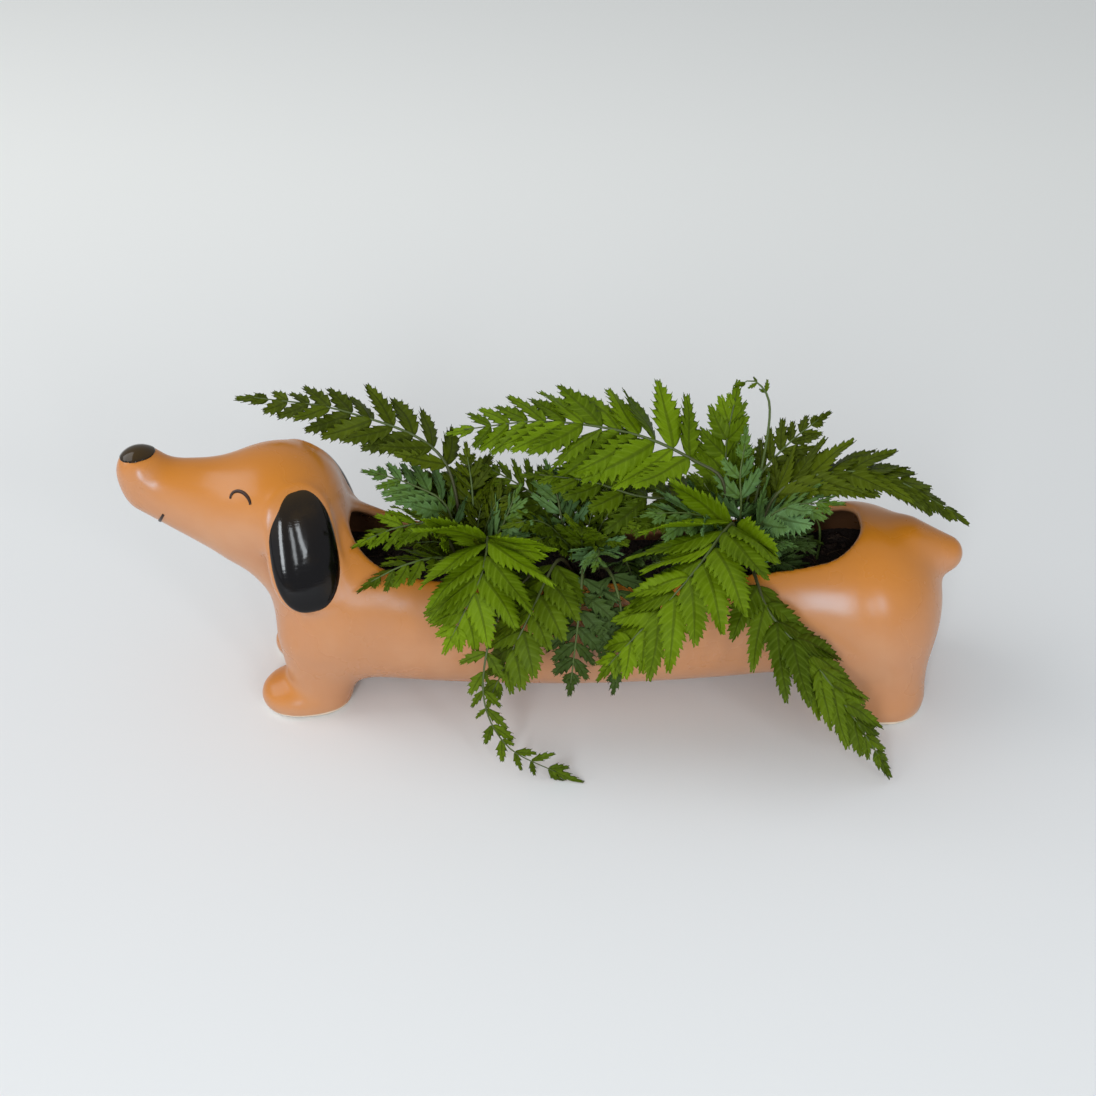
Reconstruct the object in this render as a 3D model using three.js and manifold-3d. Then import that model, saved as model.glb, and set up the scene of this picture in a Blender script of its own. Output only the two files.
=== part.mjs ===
// A dachshund planter of glazed earthenware, planted with three ferns.
// Millimetres, +Z up. The dog stands on z = 0 with its nose towards -X and its middle plane at y = 0.

import * as THREE from "three";
import Module from "manifold-3d";
import { mergeVertices } from "three/addons/utils/BufferGeometryUtils.js";

const wasm = await Module();
wasm.setup();

// Clay shell
const wall = 5;
const seatGap = 0.3;
const soilGap = 0.8;

// Torso, a round bar that sags between its ends
const torsoFront = -96;
const torsoLength = 246;
const torsoRadius = 40;
const torsoHeight = 55;
const bellySag = 11;
const sagHalfSpan = 135;
const sagAheadOfMiddle = 27;
const sagLift = 0.2;

// Rump
const rumpSetback = 7;
const rumpHeight = 49;
const rumpHalfLength = 40.5;
const rumpHalfWidth = 47;
const rumpHalfHeight = 42;

// Chest and neck
const chestAhead = 11;
const chestHeight = 54;
const chestHalfLength = 25;
const chestHalfWidth = 42;
const chestHalfHeight = 38.5;
const neckRootHeight = 62;
const neckRootRadius = 28;
const neckReach = 17;
const neckRise = 30;
const neckTopRadius = 23.5;
const neckSpread = 1.2;

// Head
const headAhead = 6;
const headAboveNeck = 26.6;
const headHalfLength = 28;
const headHalfWidth = 34;
const headHalfHeight = 23.8;
const muzzleLength = 62.8;
const muzzleRise = 5.3;
const muzzleRootRadius = 25.6;
const muzzleRootAhead = 18;
const muzzleRootDrop = 8;
const muzzleTipRadius = 13.3;
const noseBallAhead = 4;
const noseBallRise = 10.1;
const noseBallRadius = 10.8;

// Nose cap
const noseCapRadius = 8;
const noseCapHeight = 4.2;
const noseSeatDepth = 3.6;

// Front legs
const frontLegSpread = 22;
const frontLegSetback = 10;
const frontLegTopRadius = 17.5;
const frontLegSoleRadius = 15.5;
const frontPawAhead = 11.5;
const frontPawLength = 39;
const frontPawWidth = 36;
const frontPawHeight = 17.5;

// Rear legs
const rearLegSpread = 23;
const rearLegSetback = 13;
const rearLegTopRadius = 18;
const rearLegSoleRadius = 22;
const rearPawAhead = 12;
const rearPawLength = 44;
const rearPawWidth = 37;
const rearPawHeight = 21.5;

// Both pairs of legs
const legTopHeight = 42;
const legSoleHeight = 8;
const pawSink = 0.35;

// Tail
const tailSetback = 20;
const tailHeight = 33;
const tailLength = 20;
const tailDroop = 5.4;
const tailRootRadius = 13.6;
const tailTipRadius = 9.4;

// How softly the forms run into each other
const blendRump = 25;
const blendChest = 22;
const blendNeck = 28;
const blendMuzzle = 22;
const blendNose = 14;
const blendHead = 26;
const blendPaw = 8;
const blendLegs = 16;
const blendTail = 12;
const blendSole = 4;
const soleTrim = 0.8;

// The long mouth of the planter
const mouthFrontMargin = 2;
const mouthRearMargin = 2;
const mouthWidth = 47;
const mouthCorner = 20;

// Ears
const earLength = 60.2;
const earWidth = 32.4;
const earThickness = 13;
const earBehindHead = 13.7;
const earBelowHead = 11.3;
const earInset = 1.5;
const earLean = 0.42;
const earTilt = 0.149;
const earYaw = 0.5;
const earSquareness = 2.5;

// Closed eyes and mouth, thin raised lines
const lineRadius = 0.9;
const eyeAheadOfHead = 14.8;
const eyeAboveHead = 11.2;
const eyeHalfWidth = 5.1;
const eyeRise = 3.5;
const smileHalfAngle = 1.15;
const smileBehindTip = 2;
const smileSetback = 6;

// Planting
const soilBelowRim = 14;
const crownRadius = 11;
const crownPlateau = 9.6;
const crownHeight = 5;
const frontCrownInset = 60;
const middleCrownInset = 114;
const rearCrownInset = 60;
const stalkRadius = 1;
const leafThickness = 1.1;
const leafDroop = 0.18;
const leafSweep = 0.3;
const leafNotch = 0.42;
const toothPlace = 0.62;
const leafTaper = 0.8;
const leafRootWidth = 0.6;
const leafShoulder = 0.2;
const tipShare = 0.6;

// Fineness of the faceted skins
const skinStep = 8.5;
const fineStep = 6;
const cavityStep = 12;
const weld = 0.02;
const halvings = 40;

// Places worked out from the driving dimensions
const torsoRear = torsoFront + torsoLength;
const sagMiddle = (torsoFront + torsoRear) / 2 - sagAheadOfMiddle;
const rumpX = torsoRear + rumpSetback;
const chestX = torsoFront - chestAhead;
const neckTop = [chestX - neckReach, 0, chestHeight + neckRise];
const head = [neckTop[0] - headAhead, 0, neckTop[2] + headAboveNeck];
const muzzleRoot = [head[0] - muzzleRootAhead, 0, head[2] - muzzleRootDrop];
const muzzleTip = [head[0] - muzzleLength, 0, head[2] + muzzleRise];
const noseBall = [muzzleTip[0] - noseBallAhead, 0, muzzleTip[2] + noseBallRise];
const frontLegX = chestX - frontLegSetback;
const rearLegX = rumpX + rearLegSetback;
const tailRoot = [rumpX + tailSetback, 0, rumpHeight + tailHeight];
const tailTip = [tailRoot[0] + tailLength, 0, tailRoot[2] - tailDroop];
const mouthFront = torsoFront - mouthFrontMargin;
const mouthRear = torsoRear + mouthRearMargin;
const mouthX = (mouthFront + mouthRear) / 2;
const earSpread = headHalfWidth - earInset;
const noseSeatZ = noseBall[2] + noseBallRadius - noseSeatDepth;
const rimHeight = torsoHeight - bellySag + Math.sqrt(torsoRadius ** 2 - (mouthWidth / 2) ** 2);
const soilTop = rimHeight - soilBelowRim;
const crownTop = soilTop + seatGap + crownHeight;
const frontCrownX = mouthFront + frontCrownInset;
const middleCrownX = mouthFront + middleCrownInset;
const rearCrownX = mouthRear - rearCrownInset;

// Distance fields: negative inside, positive outside, near enough in millimetres

function ellipsoidField(x, y, z, centre, radii) {
  const [u, v, w] = [x - centre[0], y - centre[1], z - centre[2]];
  const near = Math.hypot(u / radii[0], v / radii[1], w / radii[2]);
  const slope = Math.hypot(u / radii[0] ** 2, v / radii[1] ** 2, w / radii[2] ** 2);
  return (near * (near - 1)) / Math.max(slope, 1e-9);
}

// Two spheres and the cone that touches both
function taperField(x, y, z, start, end, startRadius, endRadius) {
  const [ax, ay, az] = [end[0] - start[0], end[1] - start[1], end[2] - start[2]];
  const [px, py, pz] = [x - start[0], y - start[1], z - start[2]];
  const length = Math.hypot(ax, ay, az);
  const along = (px * ax + py * ay + pz * az) / length;
  const across = Math.sqrt(Math.max(px * px + py * py + pz * pz - along * along, 0));
  const sine = (startRadius - endRadius) / length;
  const cosine = Math.sqrt(1 - sine * sine);
  const shifted = along * cosine - across * sine;
  if (shifted < 0) return Math.hypot(along, across) - startRadius;
  if (shifted > length * cosine) return Math.hypot(along - length, across) - endRadius;
  return across * cosine + along * sine - startRadius;
}

function blend(a, b, reach) {
  const share = Math.max(reach - Math.abs(a - b), 0) / reach;
  return Math.min(a, b) - (share ** 3 * reach) / 6;
}

function blendedCut(a, b, reach) {
  return -blend(-a, -b, reach);
}

// One front or rear leg with its paw, on the side where y is positive
function legField(x, y, z, legX, spread, topRadius, soleRadius, paw) {
  const top = [legX, spread, legTopHeight];
  const sole = [legX, spread, legSoleHeight];
  const leg = taperField(x, y, z, top, sole, topRadius, soleRadius);
  const pawCentre = [legX - paw.ahead, spread, paw.height * pawSink];
  const radii = [paw.length / 2, paw.width / 2, paw.height * (1 - pawSink)];
  return blend(leg, ellipsoidField(x, y, z, pawCentre, radii), blendPaw);
}

const frontPaw = {
  ahead: frontPawAhead,
  length: frontPawLength,
  width: frontPawWidth,
  height: frontPawHeight,
};
const rearPaw = {
  ahead: rearPawAhead,
  length: rearPawLength,
  width: rearPawWidth,
  height: rearPawHeight,
};

// The whole outside of the dog
function dogField(x, y, z) {
  const fromMiddle = (x - sagMiddle) / sagHalfSpan;
  const sag = bellySag * Math.max(1 - fromMiddle * fromMiddle, -sagLift);
  const torso = taperField(
    x, y, z + sag,
    [torsoFront, 0, torsoHeight], [torsoRear, 0, torsoHeight], torsoRadius, torsoRadius,
  );
  const rumpRadii = [rumpHalfLength, rumpHalfWidth, rumpHalfHeight];
  const chestRadii = [chestHalfLength, chestHalfWidth, chestHalfHeight];
  const headRadii = [headHalfLength, headHalfWidth, headHalfHeight];
  const rump = ellipsoidField(x, y, z, [rumpX, 0, rumpHeight], rumpRadii);
  const chest = ellipsoidField(x, y, z, [chestX, 0, chestHeight], chestRadii);
  const neckRoot = [torsoFront, 0, neckRootHeight];
  const neck = taperField(x, y / neckSpread, z, neckRoot, neckTop, neckRootRadius, neckTopRadius);
  const skull = ellipsoidField(x, y, z, head, headRadii);
  const muzzle = taperField(x, y, z, muzzleTip, muzzleRoot, muzzleTipRadius, muzzleRootRadius);
  const noseRadii = [noseBallRadius, noseBallRadius, noseBallRadius];
  const nose = ellipsoidField(x, y, z, noseBall, noseRadii);
  const face = blend(blend(skull, muzzle, blendMuzzle), nose, blendNose);
  const trunk = blend(blend(blend(torso, rump, blendRump), chest, blendChest), neck, blendNeck);
  const side = Math.abs(y);
  const frontLeg = legField(
    x, side, z, frontLegX, frontLegSpread, frontLegTopRadius, frontLegSoleRadius, frontPaw,
  );
  const rearLeg = legField(
    x, side, z, rearLegX, rearLegSpread, rearLegTopRadius, rearLegSoleRadius, rearPaw,
  );
  const legs = Math.min(frontLeg, rearLeg);
  const tail = taperField(x, y, z, tailRoot, tailTip, tailRootRadius, tailTipRadius);
  const dog = blend(blend(blend(trunk, face, blendHead), legs, blendLegs), tail, blendTail);
  return blendedCut(dog, -z, blendSole);
}

// Grid lines from low to high, with a step that may change from place to place
function gridLines(low, high, stepAt) {
  const lines = [low];
  while (lines[lines.length - 1] < high) {
    const last = lines[lines.length - 1];
    lines.push(last + stepAt(last));
  }
  return lines;
}

// Grid lines for the outside of the dog, finer at its head, tail and soles, and for its hollow
const spanX = [
  noseBall[0] - noseBallRadius - 2 * skinStep,
  tailTip[0] + tailTipRadius + 2 * skinStep,
];
const spanY = Math.max(rumpHalfWidth, chestHalfWidth, earSpread) + 2 * skinStep;
const spanZ = [-2 * skinStep, noseBall[2] + noseBallRadius + 2 * skinStep];
const isFineX = (x) => x < muzzleRoot[0] || x > tailRoot[0];
const isFineZ = (z) => z > muzzleRoot[2] || z < frontPawHeight;
const skinX = gridLines(spanX[0], spanX[1], (x) => (isFineX(x) ? fineStep : skinStep));
const skinY = gridLines(-spanY, spanY, () => skinStep);
const skinZ = gridLines(spanZ[0], spanZ[1], (z) => (isFineZ(z) ? fineStep : skinStep));
const cavityX = gridLines(spanX[0], spanX[1], () => cavityStep);
const cavityY = gridLines(-spanY, spanY, () => cavityStep);
const cavityZ = gridLines(spanZ[0], spanZ[1], () => cavityStep);

// Where two corners across a face or a cell are alone on their side of the skin, two sheets of it
// would meet in one edge, so the corner nearest to the skin changes sides
const facePlanes = [[1, 2], [2, 4], [1, 4]];
const settledShare = 0.1;

function settleCorners(values, cornerAt, counts) {
  let changes = 1;
  const flipNearest = (places) => {
    const nearest = places.reduce((p, q) => (Math.abs(values[p]) < Math.abs(values[q]) ? p : q));
    values[nearest] *= -settledShare;
    changes++;
  };
  const isIn = (place) => values[place] < 0;
  while (changes) {
    changes = 0;
    for (let i = 0; i < counts[0] - 1; i++)
      for (let j = 0; j < counts[1] - 1; j++)
        for (let k = 0; k < counts[2] - 1; k++) {
          const cell = [0, 1, 2, 3, 4, 5, 6, 7].map((c) => cornerAt(i, j, k, c));
          for (const [u, v] of facePlanes) {
            const face = [cell[0], cell[u], cell[u | v], cell[v]];
            const [p, q, r, s] = face.map(isIn);
            if (p === r && q === s && p !== q) flipNearest(face);
          }
          for (let c = 0; c < 4; c++) {
            const pair = [cell[c], cell[7 - c]];
            const others = cell.filter((place) => !pair.includes(place));
            const alone = isIn(pair[0]) === isIn(pair[1]);
            if (alone && others.every((place) => isIn(place) !== isIn(pair[0]))) flipNearest(pair);
          }
        }
  }
}

// A closed skin where the field is zero: one point in each cell that the skin crosses
function skinOf(field, xs, ys, zs) {
  const [nx, ny, nz] = [xs.length, ys.length, zs.length];
  const at = (i, j, k) => (i * ny + j) * nz + k;
  const values = new Float64Array(nx * ny * nz);
  for (let i = 0; i < nx; i++)
    for (let j = 0; j < ny; j++)
      for (let k = 0; k < nz; k++) values[at(i, j, k)] = field(xs[i], ys[j], zs[k]);
  const positions = [];
  const indices = [];
  const pointOf = new Int32Array(nx * ny * nz).fill(-1);
  const edges = [];
  for (let a = 0; a < 8; a++)
    for (const bit of [1, 2, 4]) if (!(a & bit)) edges.push([a, a | bit]);
  const corner = (i, j, k, c) => [i + (c & 1), j + ((c >> 1) & 1), k + ((c >> 2) & 1)];
  settleCorners(values, (i, j, k, c) => at(...corner(i, j, k, c)), [nx, ny, nz]);
  for (let i = 0; i < nx - 1; i++)
    for (let j = 0; j < ny - 1; j++)
      for (let k = 0; k < nz - 1; k++) {
        const sum = [0, 0, 0];
        let crossings = 0;
        for (const [a, b] of edges) {
          const [p, q] = [corner(i, j, k, a), corner(i, j, k, b)];
          const [va, vb] = [values[at(...p)], values[at(...q)]];
          if (va < 0 === vb < 0) continue;
          const t = va / (va - vb);
          sum[0] += xs[p[0]] + t * (xs[q[0]] - xs[p[0]]);
          sum[1] += ys[p[1]] + t * (ys[q[1]] - ys[p[1]]);
          sum[2] += zs[p[2]] + t * (zs[q[2]] - zs[p[2]]);
          crossings++;
        }
        if (!crossings) continue;
        pointOf[at(i, j, k)] = positions.length / 3;
        positions.push(sum[0] / crossings, sum[1] / crossings, sum[2] / crossings);
      }
  const addFace = (loop, facingUp) => {
    const [a, b, c, d] = facingUp ? loop : [...loop].reverse();
    const gap = (p, q) =>
      Math.hypot(...[0, 1, 2].map((n) => positions[3 * p + n] - positions[3 * q + n]));
    if (gap(a, c) < gap(b, d)) indices.push(a, b, c, a, c, d);
    else indices.push(a, b, d, b, c, d);
  };
  for (let i = 1; i < nx - 1; i++)
    for (let j = 1; j < ny - 1; j++)
      for (let k = 1; k < nz - 1; k++) {
        const inside = values[at(i, j, k)] < 0;
        const cell = (di, dj, dk) => pointOf[at(i - di, j - dj, k - dk)];
        if (inside !== values[at(i + 1, j, k)] < 0)
          addFace([cell(0, 1, 1), cell(0, 0, 1), cell(0, 0, 0), cell(0, 1, 0)], inside);
        if (inside !== values[at(i, j + 1, k)] < 0)
          addFace([cell(1, 0, 1), cell(1, 0, 0), cell(0, 0, 0), cell(0, 0, 1)], inside);
        if (inside !== values[at(i, j, k + 1)] < 0)
          addFace([cell(1, 1, 0), cell(0, 1, 0), cell(0, 0, 0), cell(1, 0, 0)], inside);
      }
  const geometry = new THREE.BufferGeometry();
  geometry.setAttribute("position", new THREE.Float32BufferAttribute(positions, 3));
  geometry.setIndex(indices);
  return geometry;
}

// The same skin with each corner moved out, or in where the distance is negative
function swollen(skin, distance) {
  const moved = skin.clone();
  moved.computeVertexNormals();
  const { position, normal } = moved.attributes;
  for (let n = 0; n < position.count; n++)
    position.setXYZ(
      n,
      position.getX(n) + distance * normal.getX(n),
      position.getY(n) + distance * normal.getY(n),
      position.getZ(n) + distance * normal.getZ(n),
    );
  return moved;
}

// Between a three.js geometry and a solid that can be cut
function solidOf(geometry) {
  const bare = geometry.clone();
  bare.deleteAttribute("normal");
  bare.deleteAttribute("uv");
  const merged = mergeVertices(bare, 1e-4);
  const vertProperties = Float32Array.from(merged.attributes.position.array);
  const triVerts = Uint32Array.from(merged.index.array);
  return new wasm.Manifold(new wasm.Mesh({ numProp: 3, vertProperties, triVerts }));
}

// The ends of each edge shorter than the weld become one corner, and the slivers there go
function geometryOf(solid) {
  const mesh = solid.getMesh();
  const places = mesh.vertProperties;
  const corners = mesh.triVerts;
  const joined = Array.from({ length: places.length / 3 }, (_, n) => n);
  const rootOf = (n) => (joined[n] === n ? n : rootOf(joined[n]));
  const apart = (p, q) => Math.hypot(...[0, 1, 2].map((m) => places[3 * p + m] - places[3 * q + m]));
  for (let n = 0; n < corners.length; n++) {
    const next = n % 3 === 2 ? n - 2 : n + 1;
    const [p, q] = [rootOf(corners[n]), rootOf(corners[next])];
    if (p !== q && apart(corners[n], corners[next]) < weld) joined[q] = p;
  }
  const kept = [];
  for (let n = 0; n < corners.length; n += 3) {
    const [a, b, c] = [0, 1, 2].map((m) => rootOf(corners[n + m]));
    if (a !== b && b !== c && c !== a) kept.push(a, b, c);
  }
  const geometry = new THREE.BufferGeometry();
  geometry.setAttribute("position", new THREE.Float32BufferAttribute(places, 3));
  geometry.setIndex(kept);
  geometry.computeVertexNormals();
  return geometry;
}

// A block between two levels, wide enough to pass the whole dog
function slab(bottom, top) {
  const block = new THREE.BoxGeometry(2 * torsoLength, 2 * torsoLength, top - bottom);
  block.translate(mouthX, 0, (top + bottom) / 2);
  return solidOf(block);
}

// Where a line from inside the dog meets its outside
function skinPoint(origin, direction) {
  let [inner, outer] = [0, 2 * spanY];
  for (let turn = 0; turn < halvings; turn++) {
    const middle = (inner + outer) / 2;
    const point = origin.clone().addScaledVector(direction, middle);
    if (dogField(point.x, point.y, point.z) < 0) inner = middle;
    else outer = middle;
  }
  return origin.clone().addScaledVector(direction, (inner + outer) / 2);
}

// A round cord of clay or enamel along a curve
function line(points, radius) {
  const section = new THREE.Shape();
  section.absarc(0, 0, radius, 0, 2 * Math.PI);
  const path = new THREE.CatmullRomCurve3(points);
  const settings = { steps: 12, bevelEnabled: false, extrudePath: path, curveSegments: 3 };
  return solidOf(new THREE.ExtrudeGeometry(section, settings));
}

const eyeSteps = 7;

function eyePoints(side) {
  const points = [];
  for (let n = 0; n < eyeSteps; n++) {
    const angle = (Math.PI * n) / (eyeSteps - 1);
    const x = head[0] - eyeAheadOfHead + eyeHalfWidth * Math.cos(angle);
    const z = head[2] + eyeAboveHead + eyeRise * Math.sin(angle);
    points.push(skinPoint(new THREE.Vector3(x, 0, z), new THREE.Vector3(0, side, 0)));
  }
  return points;
}

function smilePoints() {
  const points = [];
  for (let n = 0; n < eyeSteps; n++) {
    const share = (2 * n) / (eyeSteps - 1) - 1;
    const angle = share * smileHalfAngle;
    const x = muzzleTip[0] + smileBehindTip + smileSetback * share * share;
    const origin = new THREE.Vector3(x, 0, muzzleTip[2]);
    points.push(skinPoint(origin, new THREE.Vector3(0, Math.sin(angle), -Math.cos(angle))));
  }
  return points;
}

// A domed ear slab; its flat of symmetry lies against the side of the head
function earSolid(side) {
  const geometry = new THREE.SphereGeometry(1, 20, 10);
  const position = geometry.attributes.position;
  const swell = (v) => Math.sign(v) * Math.abs(v) ** (2 / earSquareness);
  for (let n = 0; n < position.count; n++) {
    const round = Math.hypot(position.getX(n), position.getZ(n));
    const angle = Math.atan2(position.getZ(n), position.getX(n));
    const x = round * swell(Math.cos(angle)) * (earWidth / 2);
    const z = round * swell(Math.sin(angle)) * (earLength / 2);
    position.setXYZ(n, x, position.getY(n) * (earThickness / 2), z);
  }
  geometry.rotateZ(-side * earYaw);
  geometry.rotateX(side * earLean);
  geometry.rotateY(-earTilt);
  geometry.translate(head[0] + earBehindHead, side * earSpread, head[2] - earBelowHead);
  return solidOf(geometry);
}

// The nose is a low dome on a flat seat at the top of the muzzle
function noseSolid() {
  const profile = [];
  const steps = 5;
  for (let n = 0; n <= steps; n++) {
    const angle = (Math.PI / 2) * (n / steps);
    const radius = n === steps ? 0 : noseCapRadius * Math.cos(angle);
    profile.push(new THREE.Vector2(radius, noseCapHeight * Math.sin(angle)));
  }
  const geometry = new THREE.LatheGeometry([new THREE.Vector2(0, 0), ...profile], 16);
  geometry.rotateX(Math.PI / 2);
  geometry.translate(noseBall[0], 0, noseSeatZ);
  return solidOf(geometry);
}

// What is cut off the muzzle to make that seat
function noseSeatCut() {
  const radius = noseBallRadius + seatGap;
  const geometry = new THREE.CylinderGeometry(radius, radius, noseBallRadius, 16);
  geometry.rotateX(Math.PI / 2);
  geometry.translate(noseBall[0], 0, noseSeatZ - seatGap + noseBallRadius / 2);
  return solidOf(geometry);
}

function mouthSolid() {
  const straightX = (mouthRear - mouthFront) / 2 - mouthCorner;
  const straightY = mouthWidth / 2 - mouthCorner;
  const plan = new THREE.Shape();
  plan.absarc(straightX, straightY, mouthCorner, 0, Math.PI / 2);
  plan.absarc(-straightX, straightY, mouthCorner, Math.PI / 2, Math.PI);
  plan.absarc(-straightX, -straightY, mouthCorner, Math.PI, 1.5 * Math.PI);
  plan.absarc(straightX, -straightY, mouthCorner, 1.5 * Math.PI, 2 * Math.PI);
  const bottom = torsoHeight - bellySag;
  const settings = { depth: spanZ[1] - bottom, bevelEnabled: false, curveSegments: 6 };
  const geometry = new THREE.ExtrudeGeometry(plan, settings);
  geometry.translate(mouthX, 0, bottom);
  return solidOf(geometry);
}

const outside = (grow) => (x, y, z) => dogField(x, y, z + soleTrim) - grow;
const outerSkin = skinOf(outside(0), skinX, skinY, skinZ);
const cavitySkin = skinOf(outside(-wall), cavityX, cavityY, cavityZ);

const planterSolid = [
  slab(spanZ[0], 0),
  solidOf(cavitySkin),
  mouthSolid(),
  noseSeatCut(),
  line(eyePoints(-1), lineRadius + seatGap),
  line(eyePoints(1), lineRadius + seatGap),
  line(smilePoints(), lineRadius + seatGap),
].reduce((body, cut) => body.subtract(cut), solidOf(outerSkin));

// The soil fills the hollow, a soil gap inside its wall, up to the soil's level
const soilSolid = solidOf(swollen(cavitySkin, -soilGap)).subtract(slab(soilTop, spanZ[1]));
const clearSkin = solidOf(swollen(outerSkin, seatGap));

// Root crowns, low domes on the soil
function crownSolid(x) {
  const outline = [[0, 0], [crownRadius, 0], [crownPlateau, crownHeight], [0, crownHeight]];
  const profile = outline.map(([radius, height]) => new THREE.Vector2(radius, height));
  const geometry = new THREE.LatheGeometry(profile, 12);
  geometry.rotateX(Math.PI / 2);
  geometry.translate(x, 0, soilTop + seatGap);
  return solidOf(geometry);
}

// Fronds: where each stalk leaves its crown, the places that its midrib passes and its width.
// A place is [along the dog from the crown, across the dog, above the rim].
const flank = torsoRadius;
const fronds = [
  {
    name: "frond_front_long_left", crown: frontCrownX, base: [-5, 3], halfWidth: 21, pairs: 7,
    bare: 0.42, roll: -0.35,
    places: [[-16, 18, 45], [-63, 32, 62], [-112, 42, 65]],
  },
  {
    name: "frond_front_blue", crown: frontCrownX, base: [-7, 0], halfWidth: 20, pairs: 5,
    bare: 0.4, roll: -0.3, blue: true,
    places: [[-14, 4, 26], [-29, 8, 34], [-48, 12, 39]],
  },
  {
    name: "frond_front_low_left", crown: frontCrownX, base: [-6, -3], halfWidth: 18, pairs: 5,
    bare: 0.4, roll: -0.2,
    places: [[-17, -8, 21], [-34, -14, 24], [-51, -21, 21]],
  },
  {
    name: "frond_front_lobe", crown: frontCrownX, base: [-3, -6], halfWidth: 16, pairs: 4,
    bare: 0.45, roll: 0,
    places: [[-14, -20, 10], [-32, -31, 13], [-48, -38, 8]],
  },
  {
    name: "frond_front_broad", crown: frontCrownX, base: [3, -6], halfWidth: 36, pairs: 6,
    bare: 0.3, roll: 0,
    places: [[8, -20, 22], [6, -flank - 6, 18], [-9, -flank - 20, -10]],
  },
  {
    name: "frond_front_over_back", crown: frontCrownX, base: [-1, 7], halfWidth: 26, pairs: 6,
    bare: 0.35, roll: 0,
    places: [[-8, 22, 24], [-14, flank + 4, 20], [-22, flank + 22, -12]],
  },
  {
    name: "frond_front_low_back", crown: frontCrownX, base: [5, 5], halfWidth: 18, pairs: 5,
    bare: 0.4, roll: 0, blue: true,
    places: [[13, 16, 8], [20, flank + 0, 10], [24, flank + 12, -14]],
  },
  {
    name: "frond_front_top", crown: frontCrownX, base: [6, 0], halfWidth: 18, pairs: 5,
    bare: 0.35, roll: -0.3, blue: true,
    places: [[9, -5, 7], [15, -3, 18], [21, 2, 32]],
  },
  {
    name: "frond_front_dark", crown: frontCrownX, base: [2, 4], halfWidth: 17, pairs: 4,
    bare: 0.45, roll: -0.3,
    places: [[0, 10, 15], [-1, 16, 30], [-3, 22, 43]],
  },
  {
    name: "frond_middle_down_left", crown: middleCrownX, base: [-4, -5], halfWidth: 23, pairs: 6,
    bare: 0.38, roll: 0,
    places: [[-12, -22, 10], [-26, -flank - 12, -2], [-44, -flank - 26, -38]],
  },
  {
    name: "frond_middle_trailing", crown: middleCrownX, base: [-7, -3], halfWidth: 9, pairs: 9,
    bare: 0.5, roll: 0,
    places: [
      [-24, -30, 8], [-42, -flank - 16, -4], [-47, -flank - 34, -34],
      [-36, -flank - 40, -58], [-11, -flank - 44, -72],
    ],
  },
  {
    name: "frond_middle_dark_left", crown: middleCrownX, base: [-1, -6], halfWidth: 20, pairs: 5,
    bare: 0.45, roll: 0, blue: true,
    places: [[0, -24, 6], [-2, -flank - 4, -4], [-6, -flank - 14, -42]],
  },
  {
    name: "frond_middle_dark_right", crown: middleCrownX, base: [3, -5], halfWidth: 17, pairs: 5,
    bare: 0.45, roll: 0, blue: true,
    places: [[12, -24, 6], [18, -flank - 4, -4], [16, -flank - 13, -42]],
  },
  {
    name: "frond_middle_up_left", crown: middleCrownX, base: [-6, 2], halfWidth: 20, pairs: 5,
    bare: 0.4, roll: -0.3,
    places: [[-11, 10, 12], [-26, 18, 24], [-46, 26, 33]],
  },
  {
    name: "frond_middle_up_centre", crown: middleCrownX, base: [-2, 6], halfWidth: 18, pairs: 4,
    bare: 0.45, roll: -0.3, blue: true,
    places: [[-10, 6, 15], [-12, 12, 24], [-16, 18, 36]],
  },
  {
    name: "frond_middle_up_right", crown: middleCrownX, base: [6, 4], halfWidth: 19, pairs: 5,
    bare: 0.45, roll: -0.3,
    places: [[11, 16, 12], [16, 32, 26], [24, 42, 46]],
  },
  {
    name: "frond_middle_small_right", crown: middleCrownX, base: [6, -1], halfWidth: 16, pairs: 4,
    bare: 0.35, roll: -0.2, blue: true,
    places: [[6, -8, 8], [8, -18, 12], [6, -28, 13]],
  },
  {
    name: "frond_middle_over_back", crown: middleCrownX, base: [1, 8], halfWidth: 24, pairs: 6,
    bare: 0.35, roll: 0,
    places: [[2, 24, 12], [4, flank + 6, 8], [8, flank + 20, -28]],
  },
  {
    name: "frond_rear_big_left", crown: rearCrownX, base: [-4, -5], halfWidth: 34, pairs: 8,
    bare: 0.3, roll: 0.1,
    places: [[-5, -20, 30], [-28, -flank - 14, 22], [-66, -flank - 28, -20]],
  },
  {
    name: "frond_rear_hanging", crown: rearCrownX, base: [4, -6], halfWidth: 22, pairs: 8,
    bare: 0.35, roll: 0,
    places: [[5, -30, 10], [11, -50, 0], [34, -66, -21], [68, -84, -66]],
  },
  {
    name: "frond_rear_long_right", crown: rearCrownX, base: [7, 0], halfWidth: 18, pairs: 8,
    bare: 0.4, roll: -0.3,
    places: [[22, 2, 36], [63, 0, 46], [107, -6, 26]],
  },
  {
    name: "frond_rear_up_left", crown: rearCrownX, base: [-4, 4], halfWidth: 21, pairs: 5,
    bare: 0.45, roll: -0.4,
    places: [[-3, 14, 28], [-4, 28, 44], [1, 42, 66]],
  },
  {
    name: "frond_rear_up_middle", crown: rearCrownX, base: [1, 7], halfWidth: 18, pairs: 5,
    bare: 0.5, roll: -0.4,
    places: [[10, 20, 26], [28, 32, 44], [44, 40, 54]],
  },
  {
    name: "frond_rear_up_right", crown: rearCrownX, base: [6, 3], halfWidth: 16, pairs: 5,
    bare: 0.45, roll: -0.3,
    places: [[20, 12, 26], [34, 20, 36], [49, 27, 42]],
  },
  {
    name: "frond_rear_young", crown: rearCrownX, base: [4, 1], halfWidth: 5, pairs: 3,
    bare: 0.82, roll: 0,
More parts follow.
